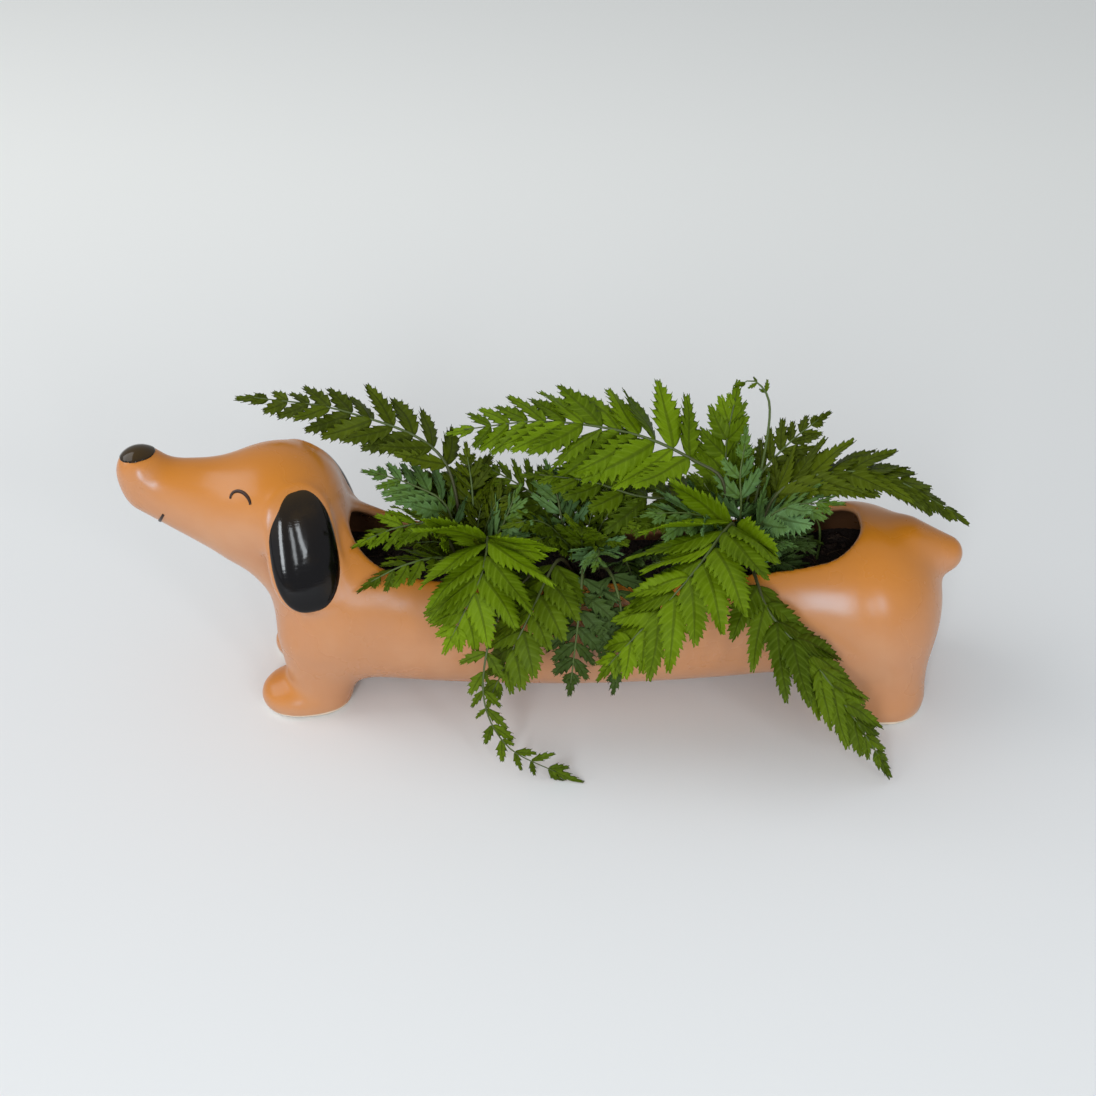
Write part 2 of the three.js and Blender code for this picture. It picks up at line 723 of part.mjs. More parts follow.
    places: [[12, 14, 34], [14, 24, 74], [6, 27, 82], [-1, 28, 78]],
  },
  {
    name: "frond_rear_blue_left", crown: rearCrownX, base: [-7, -2], halfWidth: 19, pairs: 5,
    bare: 0.35, roll: -0.2, blue: true,
    places: [[-13, -8, 23], [-25, -13, 31], [-42, -19, 35]],
  },
  {
    name: "frond_rear_blue_right", crown: rearCrownX, base: [7, -3], halfWidth: 22, pairs: 5,
    bare: 0.35, roll: -0.2, blue: true,
    places: [[10, -10, 22], [22, -15, 36], [40, -20, 42]],
  },
  {
    name: "frond_rear_arching", crown: rearCrownX, base: [-7, 2], halfWidth: 33, pairs: 6,
    bare: 0.48, roll: -0.45,
    places: [[-8, 6, 39], [-20, 10, 46], [-47, 16, 57], [-94, 22, 62], [-137, 26, 55]],
  },
  {
    name: "frond_rear_low_stalk", crown: rearCrownX, base: [-8, 0], halfWidth: 22, pairs: 5,
    bare: 0.42, roll: -0.3,
    places: [[-15, 6, 22], [-49, 8, 28], [-72, 10, 35], [-99, 12, 38]],
  },
  {
    name: "frond_rear_over_back", crown: rearCrownX, base: [-1, 8], halfWidth: 26, pairs: 6,
    bare: 0.35, roll: 0,
    places: [[-6, 24, 16], [-12, flank + 8, 14], [-20, flank + 44, -34]],
  },
  {
    name: "frond_rear_low_back", crown: rearCrownX, base: [6, 6], halfWidth: 20, pairs: 6,
    bare: 0.35, roll: 0, blue: true,
    places: [[16, 20, 12], [28, flank + 4, 8], [44, flank + 20, -22]],
  },
  {
    name: "frond_rear_small", crown: rearCrownX, base: [-2, 0], halfWidth: 11, pairs: 4,
    bare: 0.5, roll: -0.3,
    places: [[-7, -1, 16], [-11, -1, 29], [-18, -2, 42]],
  },
  {
    name: "frond_rear_blue_up", crown: rearCrownX, base: [1, 0], halfWidth: 15, pairs: 4,
    bare: 0.35, roll: -0.4, blue: true,
    places: [[2, 2, 26], [1, 7, 41], [3, 12, 56]],
  },
];

const up = new THREE.Vector3(0, 0, 1);

function frondPath(frond) {
  const start = [frond.crown + frond.base[0], frond.base[1], crownTop + seatGap];
  const places = frond.places.map(([x, y, z]) => [frond.crown + x, y, rimHeight + z]);
  const points = [start, ...places].map((place) => new THREE.Vector3(...place));
  return new THREE.CatmullRomCurve3(points, false, "centripetal");
}

// Width of the leaf from the first leaflet pair, at 0, to its tip, at 1
function leafWidth(share) {
  const shoulder = Math.min(1, share / leafShoulder);
  return (1 - share) ** leafTaper * (leafRootWidth + (1 - leafRootWidth) * shoulder);
}

// A thin leaf with a saw-edged outline, one tooth for each pair of leaflets
function frondSolid(frond) {
  const path = frondPath(frond);
  const length = path.getLength();
  const ends = [path.getPointAt(0), path.getPointAt(1)];
  const across = new THREE.Vector3().subVectors(ends[1], ends[0]).cross(up).normalize();
  const rings = [];
  const stalkRings = 4;
  for (let n = 0; n < stalkRings; n++)
    rings.push({ at: (frond.bare * n) / stalkRings, width: stalkRadius, tooth: false });
  for (let n = 0; n < frond.pairs; n++) {
    const span = 1 - frond.bare;
    const notch = n / frond.pairs;
    const tooth = (n + toothPlace) / frond.pairs;
    const notchWidth = n === 0 ? stalkRadius : frond.halfWidth * leafWidth(notch) * leafNotch;
    rings.push({ at: frond.bare + span * notch, width: notchWidth, tooth: false });
    rings.push({
      at: frond.bare + span * tooth, width: frond.halfWidth * leafWidth(tooth), tooth: true,
    });
  }
  rings.push({ at: 1, width: tipShare * stalkRadius, tooth: false });
  const positions = [];
  for (const ring of rings) {
    const share = Math.max(0, (ring.at - frond.bare) / (1 - frond.bare));
    const centre = path.getPointAt(ring.at);
    const tangent = ring.at === 0 ? up : path.getTangentAt(ring.at);
    const side = across.clone().addScaledVector(tangent, -across.dot(tangent)).normalize();
    side.applyAxisAngle(tangent, frond.roll);
    const normal = new THREE.Vector3().crossVectors(side, tangent);
    const half = ring.at < frond.bare ? stalkRadius : leafThickness * (1 - share / 2);
    const spare = ring.width - stalkRadius;
    const sweep = Math.max(0, Math.min(leafSweep * spare, length * (1 - ring.at)));
    for (const [sideways, lift] of [[1, 0], [0, 1], [-1, 0], [0, -1]]) {
      const droop = sideways ? leafDroop * spare : 0;
      const point = centre
        .clone()
        .addScaledVector(side, sideways * ring.width)
        .addScaledVector(normal, lift * half - droop)
        .addScaledVector(tangent, sideways ? sweep : 0);
      positions.push(point.x, point.y, point.z);
    }
  }
  const indices = [];
  for (let n = 0; n < rings.length - 1; n++)
    for (let m = 0; m < 4; m++) {
      const [a, b] = [4 * n + m, 4 * n + ((m + 1) % 4)];
      const [c, d] = [a + 4, b + 4];
      const edgeFirst = m % 2 === 0;
      const fromEdge = rings[n].tooth ? edgeFirst : !edgeFirst;
      if (fromEdge) indices.push(a, d, b, a, c, d);
      else indices.push(a, c, b, b, c, d);
    }
  const last = 4 * (rings.length - 1);
  indices.push(0, 1, 2, 0, 2, 3, last, last + 2, last + 1, last, last + 3, last + 2);
  const geometry = new THREE.BufferGeometry();
  geometry.setAttribute("position", new THREE.Float32BufferAttribute(positions, 3));
  geometry.setIndex(indices);
  return solidOf(geometry);
}

// Finishes
const finish = (color, roughness) =>
  new THREE.MeshStandardMaterial({ color, roughness, metalness: 0 });
const tanGlaze = finish(0xc58a50, 0.42);
const blackGlaze = finish(0x1a1416, 0.12);
const soilFinish = finish(0x2e211b, 0.95);
const rootFinish = finish(0x4a3524, 0.9);
const leafGreen = finish(0x4f8f2a, 0.5);
const leafBlueGreen = finish(0x3f7a5c, 0.5);

const planter = new THREE.Group();

function addPiece(name, solid, material) {
  const mesh = new THREE.Mesh(geometryOf(solid), material);
  mesh.name = name;
  planter.add(mesh);
}

addPiece("planter_body", planterSolid, tanGlaze);
addPiece("ear_left", earSolid(-1).subtract(clearSkin), blackGlaze);
addPiece("ear_right", earSolid(1).subtract(clearSkin), blackGlaze);
addPiece("nose", noseSolid(), blackGlaze);
addPiece("eye_line_left", line(eyePoints(-1), lineRadius), blackGlaze);
addPiece("eye_line_right", line(eyePoints(1), lineRadius), blackGlaze);
addPiece("mouth_line", line(smilePoints(), lineRadius), blackGlaze);
addPiece("potting_soil", soilSolid, soilFinish);
addPiece("fern_crown_front", crownSolid(frontCrownX), rootFinish);
addPiece("fern_crown_middle", crownSolid(middleCrownX), rootFinish);
addPiece("fern_crown_rear", crownSolid(rearCrownX), rootFinish);
for (const frond of fronds)
  addPiece(frond.name, frondSolid(frond), frond.blue ? leafBlueGreen : leafGreen);

export default planter;
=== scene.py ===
"""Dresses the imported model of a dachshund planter: glazed shell, black ears, soil and ferns.

Sizes in the classes are millimetres, but for the studio's, which are metres. The dog's nose is
towards -X, and meshes are made in metres.
"""

import logging
import math
from dataclasses import dataclass
from enum import Enum
from typing import Callable

import bpy
import numpy as np
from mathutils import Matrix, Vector


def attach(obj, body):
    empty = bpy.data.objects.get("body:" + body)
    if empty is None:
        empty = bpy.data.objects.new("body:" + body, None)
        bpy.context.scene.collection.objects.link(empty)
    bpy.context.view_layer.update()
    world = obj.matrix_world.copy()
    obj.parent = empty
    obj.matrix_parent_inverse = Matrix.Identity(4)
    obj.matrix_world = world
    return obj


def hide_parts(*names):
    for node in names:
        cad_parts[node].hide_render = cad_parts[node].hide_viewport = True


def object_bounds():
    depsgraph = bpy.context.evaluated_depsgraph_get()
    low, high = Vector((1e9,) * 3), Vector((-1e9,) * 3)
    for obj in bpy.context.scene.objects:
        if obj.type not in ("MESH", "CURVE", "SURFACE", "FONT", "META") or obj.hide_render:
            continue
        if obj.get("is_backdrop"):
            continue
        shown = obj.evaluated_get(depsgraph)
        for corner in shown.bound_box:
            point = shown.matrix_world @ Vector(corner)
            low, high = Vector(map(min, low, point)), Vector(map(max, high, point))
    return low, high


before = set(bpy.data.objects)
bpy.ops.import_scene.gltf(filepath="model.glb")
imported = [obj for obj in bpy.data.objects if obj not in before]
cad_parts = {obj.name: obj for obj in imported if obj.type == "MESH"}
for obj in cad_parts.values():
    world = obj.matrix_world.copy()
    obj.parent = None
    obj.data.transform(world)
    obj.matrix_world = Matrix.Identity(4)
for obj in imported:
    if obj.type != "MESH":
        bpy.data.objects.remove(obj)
CAD_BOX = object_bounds()

log = logging.getLogger("planter")

MM = 0.001
ROOT = "root"
MARKS = "marks"
UP = np.array([0.0, 0.0, 1.0])
OFF_AXIS = np.array([0.31, 0.87, 0.38])
FULL_TURN = 2 * math.pi
TUBE_SIDES = 7

Array = np.ndarray
Draw = np.random.Generator
Material = bpy.types.Material
Socket = bpy.types.NodeSocket
Point = tuple[float, float, float]
Field = Callable[[Array], Array]
Part = tuple[Array, list]
Box = tuple[Point, Point]
Pair = tuple[float, float]
Colour = tuple[float, float, float, float]


class Slot(Enum):
    """The record's material slots."""

    TAN_GLAZE = "tan_glaze"
    BLACK_GLAZE = "black_glaze"
    BLACK_ENAMEL = "black_enamel"
    POTTING_SOIL = "potting_soil"
    ROOT = "root"
    LEAF_GREEN = "leaf_green"
    LEAF_BLUE_GREEN = "leaf_blue_green"


# Shader nodes


class Value:
    """One shader value; arithmetic on it adds Math nodes."""

    def __init__(self, graph: "Graph", socket: Socket) -> None:
        """Wraps a socket of a graph."""
        self.graph = graph
        self.socket = socket

    def _math(self, operation: str, first: "Value | float", second: "Value | float") -> "Value":
        """Adds one Math node.

        Args:
            operation: the node's operation.
            first: its first value.
            second: its second value.

        Returns:
            The node's result.
        """
        made = self.graph.node(
            "ShaderNodeMath", {"operation": operation}, {0: first, 1: second}
        )
        return Value(self.graph, made.outputs[0])

    def __add__(self, other: "Value | float") -> "Value":
        """Adds."""
        return self._math("ADD", self, other)

    def __radd__(self, other: float) -> "Value":
        """Adds to a number."""
        return self._math("ADD", other, self)

    def __sub__(self, other: "Value | float") -> "Value":
        """Subtracts."""
        return self._math("SUBTRACT", self, other)

    def __rsub__(self, other: float) -> "Value":
        """Subtracts from a number."""
        return self._math("SUBTRACT", other, self)

    def __mul__(self, other: "Value | float") -> "Value":
        """Multiplies."""
        return self._math("MULTIPLY", self, other)

    def __rmul__(self, other: float) -> "Value":
        """Multiplies a number."""
        return self._math("MULTIPLY", other, self)

    def __pow__(self, other: float) -> "Value":
        """Raises to a power."""
        return self._math("POWER", self, other)

    def step(self, low: float, high: float) -> "Value":
        """A smooth step from 0 at low to 1 at high.

        Args:
            low: the value where it starts.
            high: the value where it ends.

        Returns:
            The step.
        """
        made = self.graph.node(
            "ShaderNodeMapRange",
            {"interpolation_type": "SMOOTHSTEP"},
            {"Value": self, "From Min": low, "From Max": high},
        )
        return Value(self.graph, made.outputs[0])


class Graph:
    """The nodes of one material."""

    def __init__(self, name: str) -> None:
        """Starts an empty material of that name.

        Args:
            name: the name of the material.
        """
        self.material = bpy.data.materials.new(name)
        self.material.use_nodes = True
        self.tree = self.material.node_tree
        self.tree.nodes.clear()

    def node(
        self, kind: str, settings: dict | None = None, inputs: dict | None = None
    ) -> bpy.types.Node:
        """Adds a node.

        Args:
            kind: the node's type.
            settings: its own settings, which are set first.
            inputs: values or links of its sockets, by name or number.

        Returns:
            The node.
        """
        made = self.tree.nodes.new(kind)
        for name, value in (settings or {}).items():
            setattr(made, name, value)
        for key, value in (inputs or {}).items():
            source = value.socket if isinstance(value, Value) else value
            if isinstance(source, Socket):
                self.tree.links.new(source, made.inputs[key])
            else:
                made.inputs[key].default_value = source
        return made

    def place(self, stretch: Point = (1, 1, 1)) -> Socket:
        """Where a point is on the object, in metres, with each axis stretched.

        Args:
            stretch: how much each axis is stretched.

        Returns:
            The place.
        """
        found = self.node("ShaderNodeTexCoord").outputs["Object"]
        made = self.node("ShaderNodeVectorMath", {"operation": "MULTIPLY"}, {0: found, 1: stretch})
        return made.outputs[0]

    def split(self, vector: Socket) -> tuple[Value, Value, Value]:
        """The three numbers of a vector."""
        made = self.node("ShaderNodeSeparateXYZ", None, {0: vector})
        return tuple(Value(self, made.outputs[axis]) for axis in "XYZ")

    def height(self) -> Value:
        """How high a point is above the floor, in metres."""
        return self.split(self.place())[2]

    def facing_up(self) -> Value:
        """The upward share of the surface's normal, from -1 to 1."""
        return self.split(self.node("ShaderNodeNewGeometry").outputs["Normal"])[2]

    def marks(self) -> tuple[Value, Value, Value]:
        """The three marks of a point."""
        found = self.node("ShaderNodeAttribute", {"attribute_name": MARKS})
        return self.split(found.outputs["Vector"])

    def noise(self, size: float, detail: float = 3, stretch: Point = (1, 1, 1)) -> Value:
        """Cloudy noise from 0 to 1.

        Args:
            size: how wide its clouds are, in millimetres.
            detail: how many finer layers it has.
            stretch: how much each axis is stretched.

        Returns:
            The noise.
        """
        inputs = {"Vector": self.place(stretch), "Scale": 1 / (size * MM), "Detail": detail}
        return Value(self, self.node("ShaderNodeTexNoise", None, inputs).outputs[0])

    def grains(self, size: float) -> Value:
        """The distance to the middle of the nearest grain, with grains of that size in mm."""
        inputs = {"Vector": self.place(), "Scale": 1 / (size * MM)}
        return Value(self, self.node("ShaderNodeTexVoronoi", None, inputs).outputs["Distance"])

    def mix(self, share: Value, first: object, second: object) -> Socket:
        """A colour between two, first where share is 0 and second where it is 1.

        Args:
            share: how much there is of the second colour.
            first: the first colour.
            second: the second colour.

        Returns:
            The colour.
        """
        settings = {"data_type": "RGBA", "clamp_factor": True}
        made = self.node("ShaderNodeMix", settings, {0: share, 6: first, 7: second})
        return made.outputs[2]

    def bump(self, height: Value, depth: float, below: object = None) -> Socket:
        """A normal from a height.

        Args:
            height: the height, from 0 to 1.
            depth: how deep that is, in millimetres.
            below: the normal of a bump under this one.

        Returns:
            The normal.
        """
        inputs = {"Height": height, "Distance": depth * MM}
        if below is not None:
            inputs["Normal"] = below
        return self.node("ShaderNodeBump", None, inputs).outputs[0]

    def surface(
        self,
        colour: Socket,
        roughness: Value | float,
        normal: Socket | None = None,
        specular: float = 0.5,
        tint: Colour = (1, 1, 1, 1),
    ) -> Material:
        """Ends the graph in a Principled shader.

        Args:
            colour: its base colour.
            roughness: its roughness.
            normal: its normal, unless it is smooth.
            specular: how much it reflects, 0.5 being the usual.
            tint: the colour of what it reflects.

        Returns:
            The material.
        """
        inputs = {
            "Base Color": colour,
            "Roughness": roughness,
            "Specular IOR Level": specular,
            "Specular Tint": tint,
        }
        if normal is not None:
            inputs["Normal"] = normal
        shader = self.node("ShaderNodeBsdfPrincipled", None, inputs)
        self.node("ShaderNodeOutputMaterial", None, {"Surface": shader.outputs[0]})
        return self.material


def paint(red: float, green: float, blue: float) -> Colour:
    """A colour given from 0 to 255, as Blender's linear colour."""
    levels = (level / 255 for level in (red, green, blue))
    return (*(((c + 0.055) / 1.055) ** 2.4 if c > 0.0404 else c / 12.92 for c in levels), 1)


# Finishes


@dataclass(frozen=True)
class TanGlaze:
    """Satin tan-orange glaze, deeper orange on top and pinker on the sides as painted light, with
    bare clay under the feet.

    The first mark of a point is its depth into the wall; the wall's inner face is darkened there as
    painted shade inside the hollow.
    """

    # side and top differ as painted light: the pinker side colour stands for the pale room
    # reflected in the sides, the deeper top colour is for up-facing parts.
    side: Colour = paint(190, 132, 90)
    top: Colour = paint(194, 119, 30)
    # pale: cloudy patches on the sides only, partly the glaze's own mottling and partly painted
    # sheen.
    pale: Colour = paint(202, 151, 112)
    clay: Colour = paint(226, 208, 186)
    # Painted shade for the inner face of the wall, inside the hollow.
    painted_hollow_shade: Colour = paint(62, 34, 16)
    gloss: Colour = (0.4, 0.75, 1, 1)
    roughness: float = 0.28
    cloud_size: float = 34
    run_size: float = 9
    wave_size: float = 16
    wave_depth: float = 0.12
    grain_size: float = 2.2
    grain_depth: float = 0.012
    sole: float = 2.3
    sole_edge: float = 0.4
    sole_wander: float = 1.2

    def material(self) -> Material:
        """Builds the glaze.

        Returns:
            The material.
        """
        graph = Graph("satin_tan_glaze")
        clouds = graph.noise(self.cloud_size, 4)
        runs = graph.noise(self.run_size, 3, (1, 1, 0.4))
        # Up-facing parts take the top colour and the rest take the side colour: painted light.
        upward = (graph.facing_up() + (clouds - 0.5) * 0.3).step(-0.1, 0.95)
        colour = graph.mix(upward, self.side, self.top)
        # Paler cloudy patches on the sides only: partly the glaze's own mottling, partly painted
        # sheen.
        colour = graph.mix(clouds.step(0.45, 0.75) * 0.4 * (1 - upward), colour, self.pale)
        colour = graph.mix(runs.step(0.5, 0.8) * 0.12, colour, self.top)
        # Darkens the wall's inner face: painted shade inside the hollow.
        painted_hollow_shade_share = graph.marks()[0].step(0.55, 1.0) * (0.62 + clouds * 0.3)
        colour = graph.mix(painted_hollow_shade_share, colour, self.painted_hollow_shade)
        level = graph.height() + (runs - 0.5) * (self.sole_wander * MM)
        bare = 1 - level.step(self.sole * MM, (self.sole + self.sole_edge) * MM)
        colour = graph.mix(bare, colour, self.clay)
        roughness = self.roughness + (clouds - 0.5) * 0.1 + bare * 0.4
        grain = graph.bump(graph.noise(self.grain_size, 2), self.grain_depth)
        normal = graph.bump(graph.noise(self.wave_size, 2), self.wave_depth, grain)
        return graph.surface(colour, roughness, normal, tint=self.gloss)


@dataclass(frozen=True)
class BlackGlaze:
    """Gloss black glaze laid on with a brush, brown in cloudy patches where it is thin and brown on
    up-facing parts as a painted sheen.
    """

    name: str = "gloss_black_glaze"
    colour: Colour = paint(7, 5, 7)
    # brown: thin glaze in cloudy patches, and a painted sheen on up-facing parts.
    brown: Colour = paint(64, 46, 16)
    roughness: float = 0.08
    specular: float = 0.3
    stroke_size: float = 2.4
    stroke_depth: float = 0.03
    cloud_size: float = 14
    cloud_depth: float = 0.12

    def material(self) -> Material:
        """Builds the glaze.

        Returns:
            The material.
        """
        graph = Graph(self.name)
        strokes = graph.noise(self.stroke_size, 4, (0.22, 1, 2.2))
        clouds = graph.noise(self.cloud_size, 3)
        # Brown on up-facing parts is a painted sheen; the cloudy share is thin glaze.
        thin_glaze_and_painted_sheen = graph.facing_up().step(0.35, 1.0) * 0.7 + clouds.step(0.5, 0.9) * 0.3
        colour = graph.mix(thin_glaze_and_painted_sheen, self.colour, self.brown)
        normal = graph.bump(strokes, self.stroke_depth, graph.bump(clouds, self.cloud_depth))
        return graph.surface(colour, self.roughness + strokes * 0.05, normal, self.specular)


@dataclass(frozen=True)
class LeafSkin:
    """Leathery fern leaf with paler side veins; a point's marks are vein, across and tone."""

    name: str
    lamina: Colour
    light: Colour
    vein: Colour
    rib: Colour
    roughness: float = 0.5
    specular: float = 0.07
    cloud_size: float = 7
    pore_size: float = 0.9
    pore_depth: float = 0.05
    vein_depth: float = 0.2

    def material(self) -> Material:
        """Builds the leaf.

        Returns:
            The material.
        """
        graph = Graph(self.name)
        vein, across, tone = graph.marks()
        clouds = graph.noise(self.cloud_size, 3)
        colour = graph.mix(tone * 0.8 + (clouds - 0.5) * 0.9, self.lamina, self.light)
        line = (vein ** 2.5) * (1 - across.step(0.75, 1.0) * 0.5)
        colour = graph.mix(line * 0.3, colour, self.vein)
        rib = 1 - across.step(0.03, 0.15)
        colour = graph.mix(rib * 0.6, colour, self.rib)
        roughness = self.roughness + (clouds - 0.5) * 0.2 + line * 0.06
        pores = graph.bump(graph.noise(self.pore_size, 2), self.pore_depth)
        normal = graph.bump(vein * 0.5 - rib, self.vein_depth, pores)
        return graph.surface(colour, roughness, normal, self.specular)


@dataclass(frozen=True)
class StalkSkin:
    """Fern stalk, dark brown at its foot and olive green above.

    A point's first mark is its share of the length, and its third one its tone.
    """

    name: str = "fern_stalk"
    foot: Colour = paint(52, 38, 22)
    top: Colour = paint(74, 92, 34)
    grain_size: float = 1.6
    grain_depth: float = 0.12

    def material(self) -> Material:
        """Builds the stalk.

        Returns:
            The material.
        """
        graph = Graph(self.name)
        share, _, tone = graph.marks()
        grain = graph.noise(self.grain_size, 3, (1, 1, 0.3))
        colour = graph.mix(share.step(0.05, 0.55) + (grain - 0.5) * 0.5, self.foot, self.top)
        colour = graph.mix(tone * 0.3, colour, self.foot)
        return graph.surface(colour, 0.45 + grain * 0.2, graph.bump(grain, self.grain_depth))


@dataclass(frozen=True)
class Earth:
    """Dark crumbly matter such as soil, bark or roots."""

    name: str
    dark: Colour
    light: Colour
    size: float = 1.6
    grain_depth: float = 0.5
    dust_depth: float = 0.3

    def material(self) -> Material:
        """Builds the matter.

        Returns:
            The material.
        """
        graph = Graph(self.name)
        clouds = graph.noise(self.size * 4, 5)
        grains = graph.grains(self.size)
        # Darker towards each grain's edge: painted shade between the grains, over the cloudy tone.
        colour = graph.mix((clouds - 0.2) * (1 - grains * 0.5), self.dark, self.light)
        dust = graph.bump(graph.noise(self.size / 3, 3), self.dust_depth)
        normal = graph.bump(1 - grains, self.grain_depth, dust)
        return graph.surface(colour, 0.75 + clouds * 0.2, normal)


# Forms: distances in millimetres, negative inside


def unit(vector: Array) -> Array:
    """A vector, or each of a table of them, made of unit length."""
    return vector / np.maximum(np.linalg.norm(vector, axis=-1, keepdims=True), 1e-9)


def square_to(way: Array, wanted: Array) -> Array:
    """The direction square to a unit vector that is nearest to another, of unit length."""
    return unit(wanted - way * (way @ wanted))


def turned(axis: int, angle: float) -> Array:
    """The matrix of a turn about one of the three axes.

    Args:
        axis: the number of the axis.
        angle: the angle, in radians.

    Returns:
        The matrix.
    """
    matrix = np.eye(3)
    u, v = (axis + 1) % 3, (axis + 2) % 3
    matrix[[u, v], [u, v]] = math.cos(angle)
    matrix[v, u] = math.sin(angle)
    matrix[u, v] = -math.sin(angle)
    return matrix


def soft_min(first: Array, second: Array, reach: float) -> Array:
    """The lesser of two distances, blended over a reach."""
    share = np.maximum(reach - np.abs(first - second), 0) / reach
    return np.minimum(first, second) - share**3 * reach / 6


def soft_max(first: Array, second: Array, reach: float) -> Array:
    """The greater of two distances, blended over a reach."""
    return -soft_min(-first, -second, reach)


def ellipsoid(places: Array, centre: Point, radii: Point) -> Array:
    """The distance to an ellipsoid, near enough.

    Args:
        places: the places, in millimetres.
        centre: its centre.
        radii: its half-lengths along the axes.

    Returns:
        The distance of each place.
    """
    from_centre = (places - np.array(centre)) / np.array(radii)
    near = np.linalg.norm(from_centre, axis=-1)
    slope = np.linalg.norm(from_centre / np.array(radii), axis=-1)
    return near * (near - 1) / np.maximum(slope, 1e-9)


def taper(
    places: Array, start: Point, end: Point, start_radius: float, end_radius: float
) -> Array:
    """The distance to two spheres and the cone that touches both.

    Args:
        places: the places.
        start: the middle of the first sphere.
        end: the middle of the second sphere.
        start_radius: the radius of the first sphere.
        end_radius: the radius of the second sphere.

    Returns:
        The distance of each place.
    """
    axis = np.array(end, float) - np.array(start, float)
    length = float(np.linalg.norm(axis))
    from_start = places - np.array(start, float)
    along = from_start @ (axis / length)
    across = np.sqrt(np.maximum(np.sum(from_start**2, axis=-1) - along**2, 0))
    sine = (start_radius - end_radius) / length
    cosine = math.sqrt(1 - sine * sine)
    shifted = along * cosine - across * sine
    side = across * cosine + along * sine - start_radius
    side = np.where(shifted < 0, np.hypot(along, across) - start_radius, side)
    past = shifted > length * cosine
    return np.where(past, np.hypot(along - length, across) - end_radius, side)


@dataclass(frozen=True)
class Leg:
    """One pair of legs with its paws, sizes in millimetres."""

    x: float
    spread: float
    top_radius: float
    sole_radius: float
    paw_ahead: float
    paw_size: Point
    top_height: float = 42
    sole_height: float = 8
    paw_sink: float = 0.35
    paw_blend: float = 8

    def distance(self, places: Array) -> Array:
        """The distance to the leg on the side where y is positive.

        Args:
            places: the places, in millimetres.

        Returns:
            The distance of each place.
        """
        length, width, height = self.paw_size
        top = (self.x, self.spread, self.top_height)
        sole = (self.x, self.spread, self.sole_height)
        paw = (self.x - self.paw_ahead, self.spread, height * self.paw_sink)
        radii = (length / 2, width / 2, height * (1 - self.paw_sink))
        leg = taper(places, top, sole, self.top_radius, self.sole_radius)
        return soft_min(leg, ellipsoid(places, paw, radii), self.paw_blend)


@dataclass(frozen=True)
class Ear:
    """An oval ear, its own axes being along the head, out of the head and up the ear."""

    side: int
    centre: Point = (-116.3, 32.5, 99.3)
    half_width: float = 16.2
    half_thickness: float = 6.5
    half_length: float = 30.1
    lean: float = 0.42
    tilt: float = 0.149
    yaw: float = -0.5
    squareness: float = 2.5
    egg: float = 0.07
    border: float = 0.8
    seat: float = 3.4
    seat_top: float = 0.2

    def axes(self) -> Array:
        """The ear's own axes as the columns of a matrix.

        Returns:
            The matrix.
        """
        about_z = turned(2, self.side * self.yaw)
        about_x = turned(0, self.side * self.lean)
        return turned(1, -self.tilt) @ about_x @ about_z

    def middle(self) -> Array:
        """The middle of the ear."""
        x, y, z = self.centre
        return np.array([x, self.side * y, z])

    def seat_distance(self, places: Array) -> Array:
        """The distance to the clay that the ear stands on, which shows as a border round it.

        Args:
            places: the places, in millimetres.

        Returns:
            The distance of each place.
        """
        own = (places - self.middle()) @ self.axes()
        out = own[..., 1] * self.side
        height = own[..., 2] / self.half_length
        width = self.half_width * (1 - self.egg * np.clip(height, -1, 1))
        u, w = np.abs(own[..., 0]) / width, np.abs(height)
        power = self.squareness
        reach = np.maximum((u**power + w**power) ** (1 / power), 1e-6)
        steep = (u / reach) ** (power - 1) / width, (w / reach) ** (power - 1) / self.half_length
        plan = (reach - 1) / np.maximum(np.hypot(*steep), 1e-6) - self.border
        slab = np.maximum(out - self.seat_top, -out - 2 * self.seat)
        return soft_max(plan, slab, self.seat)


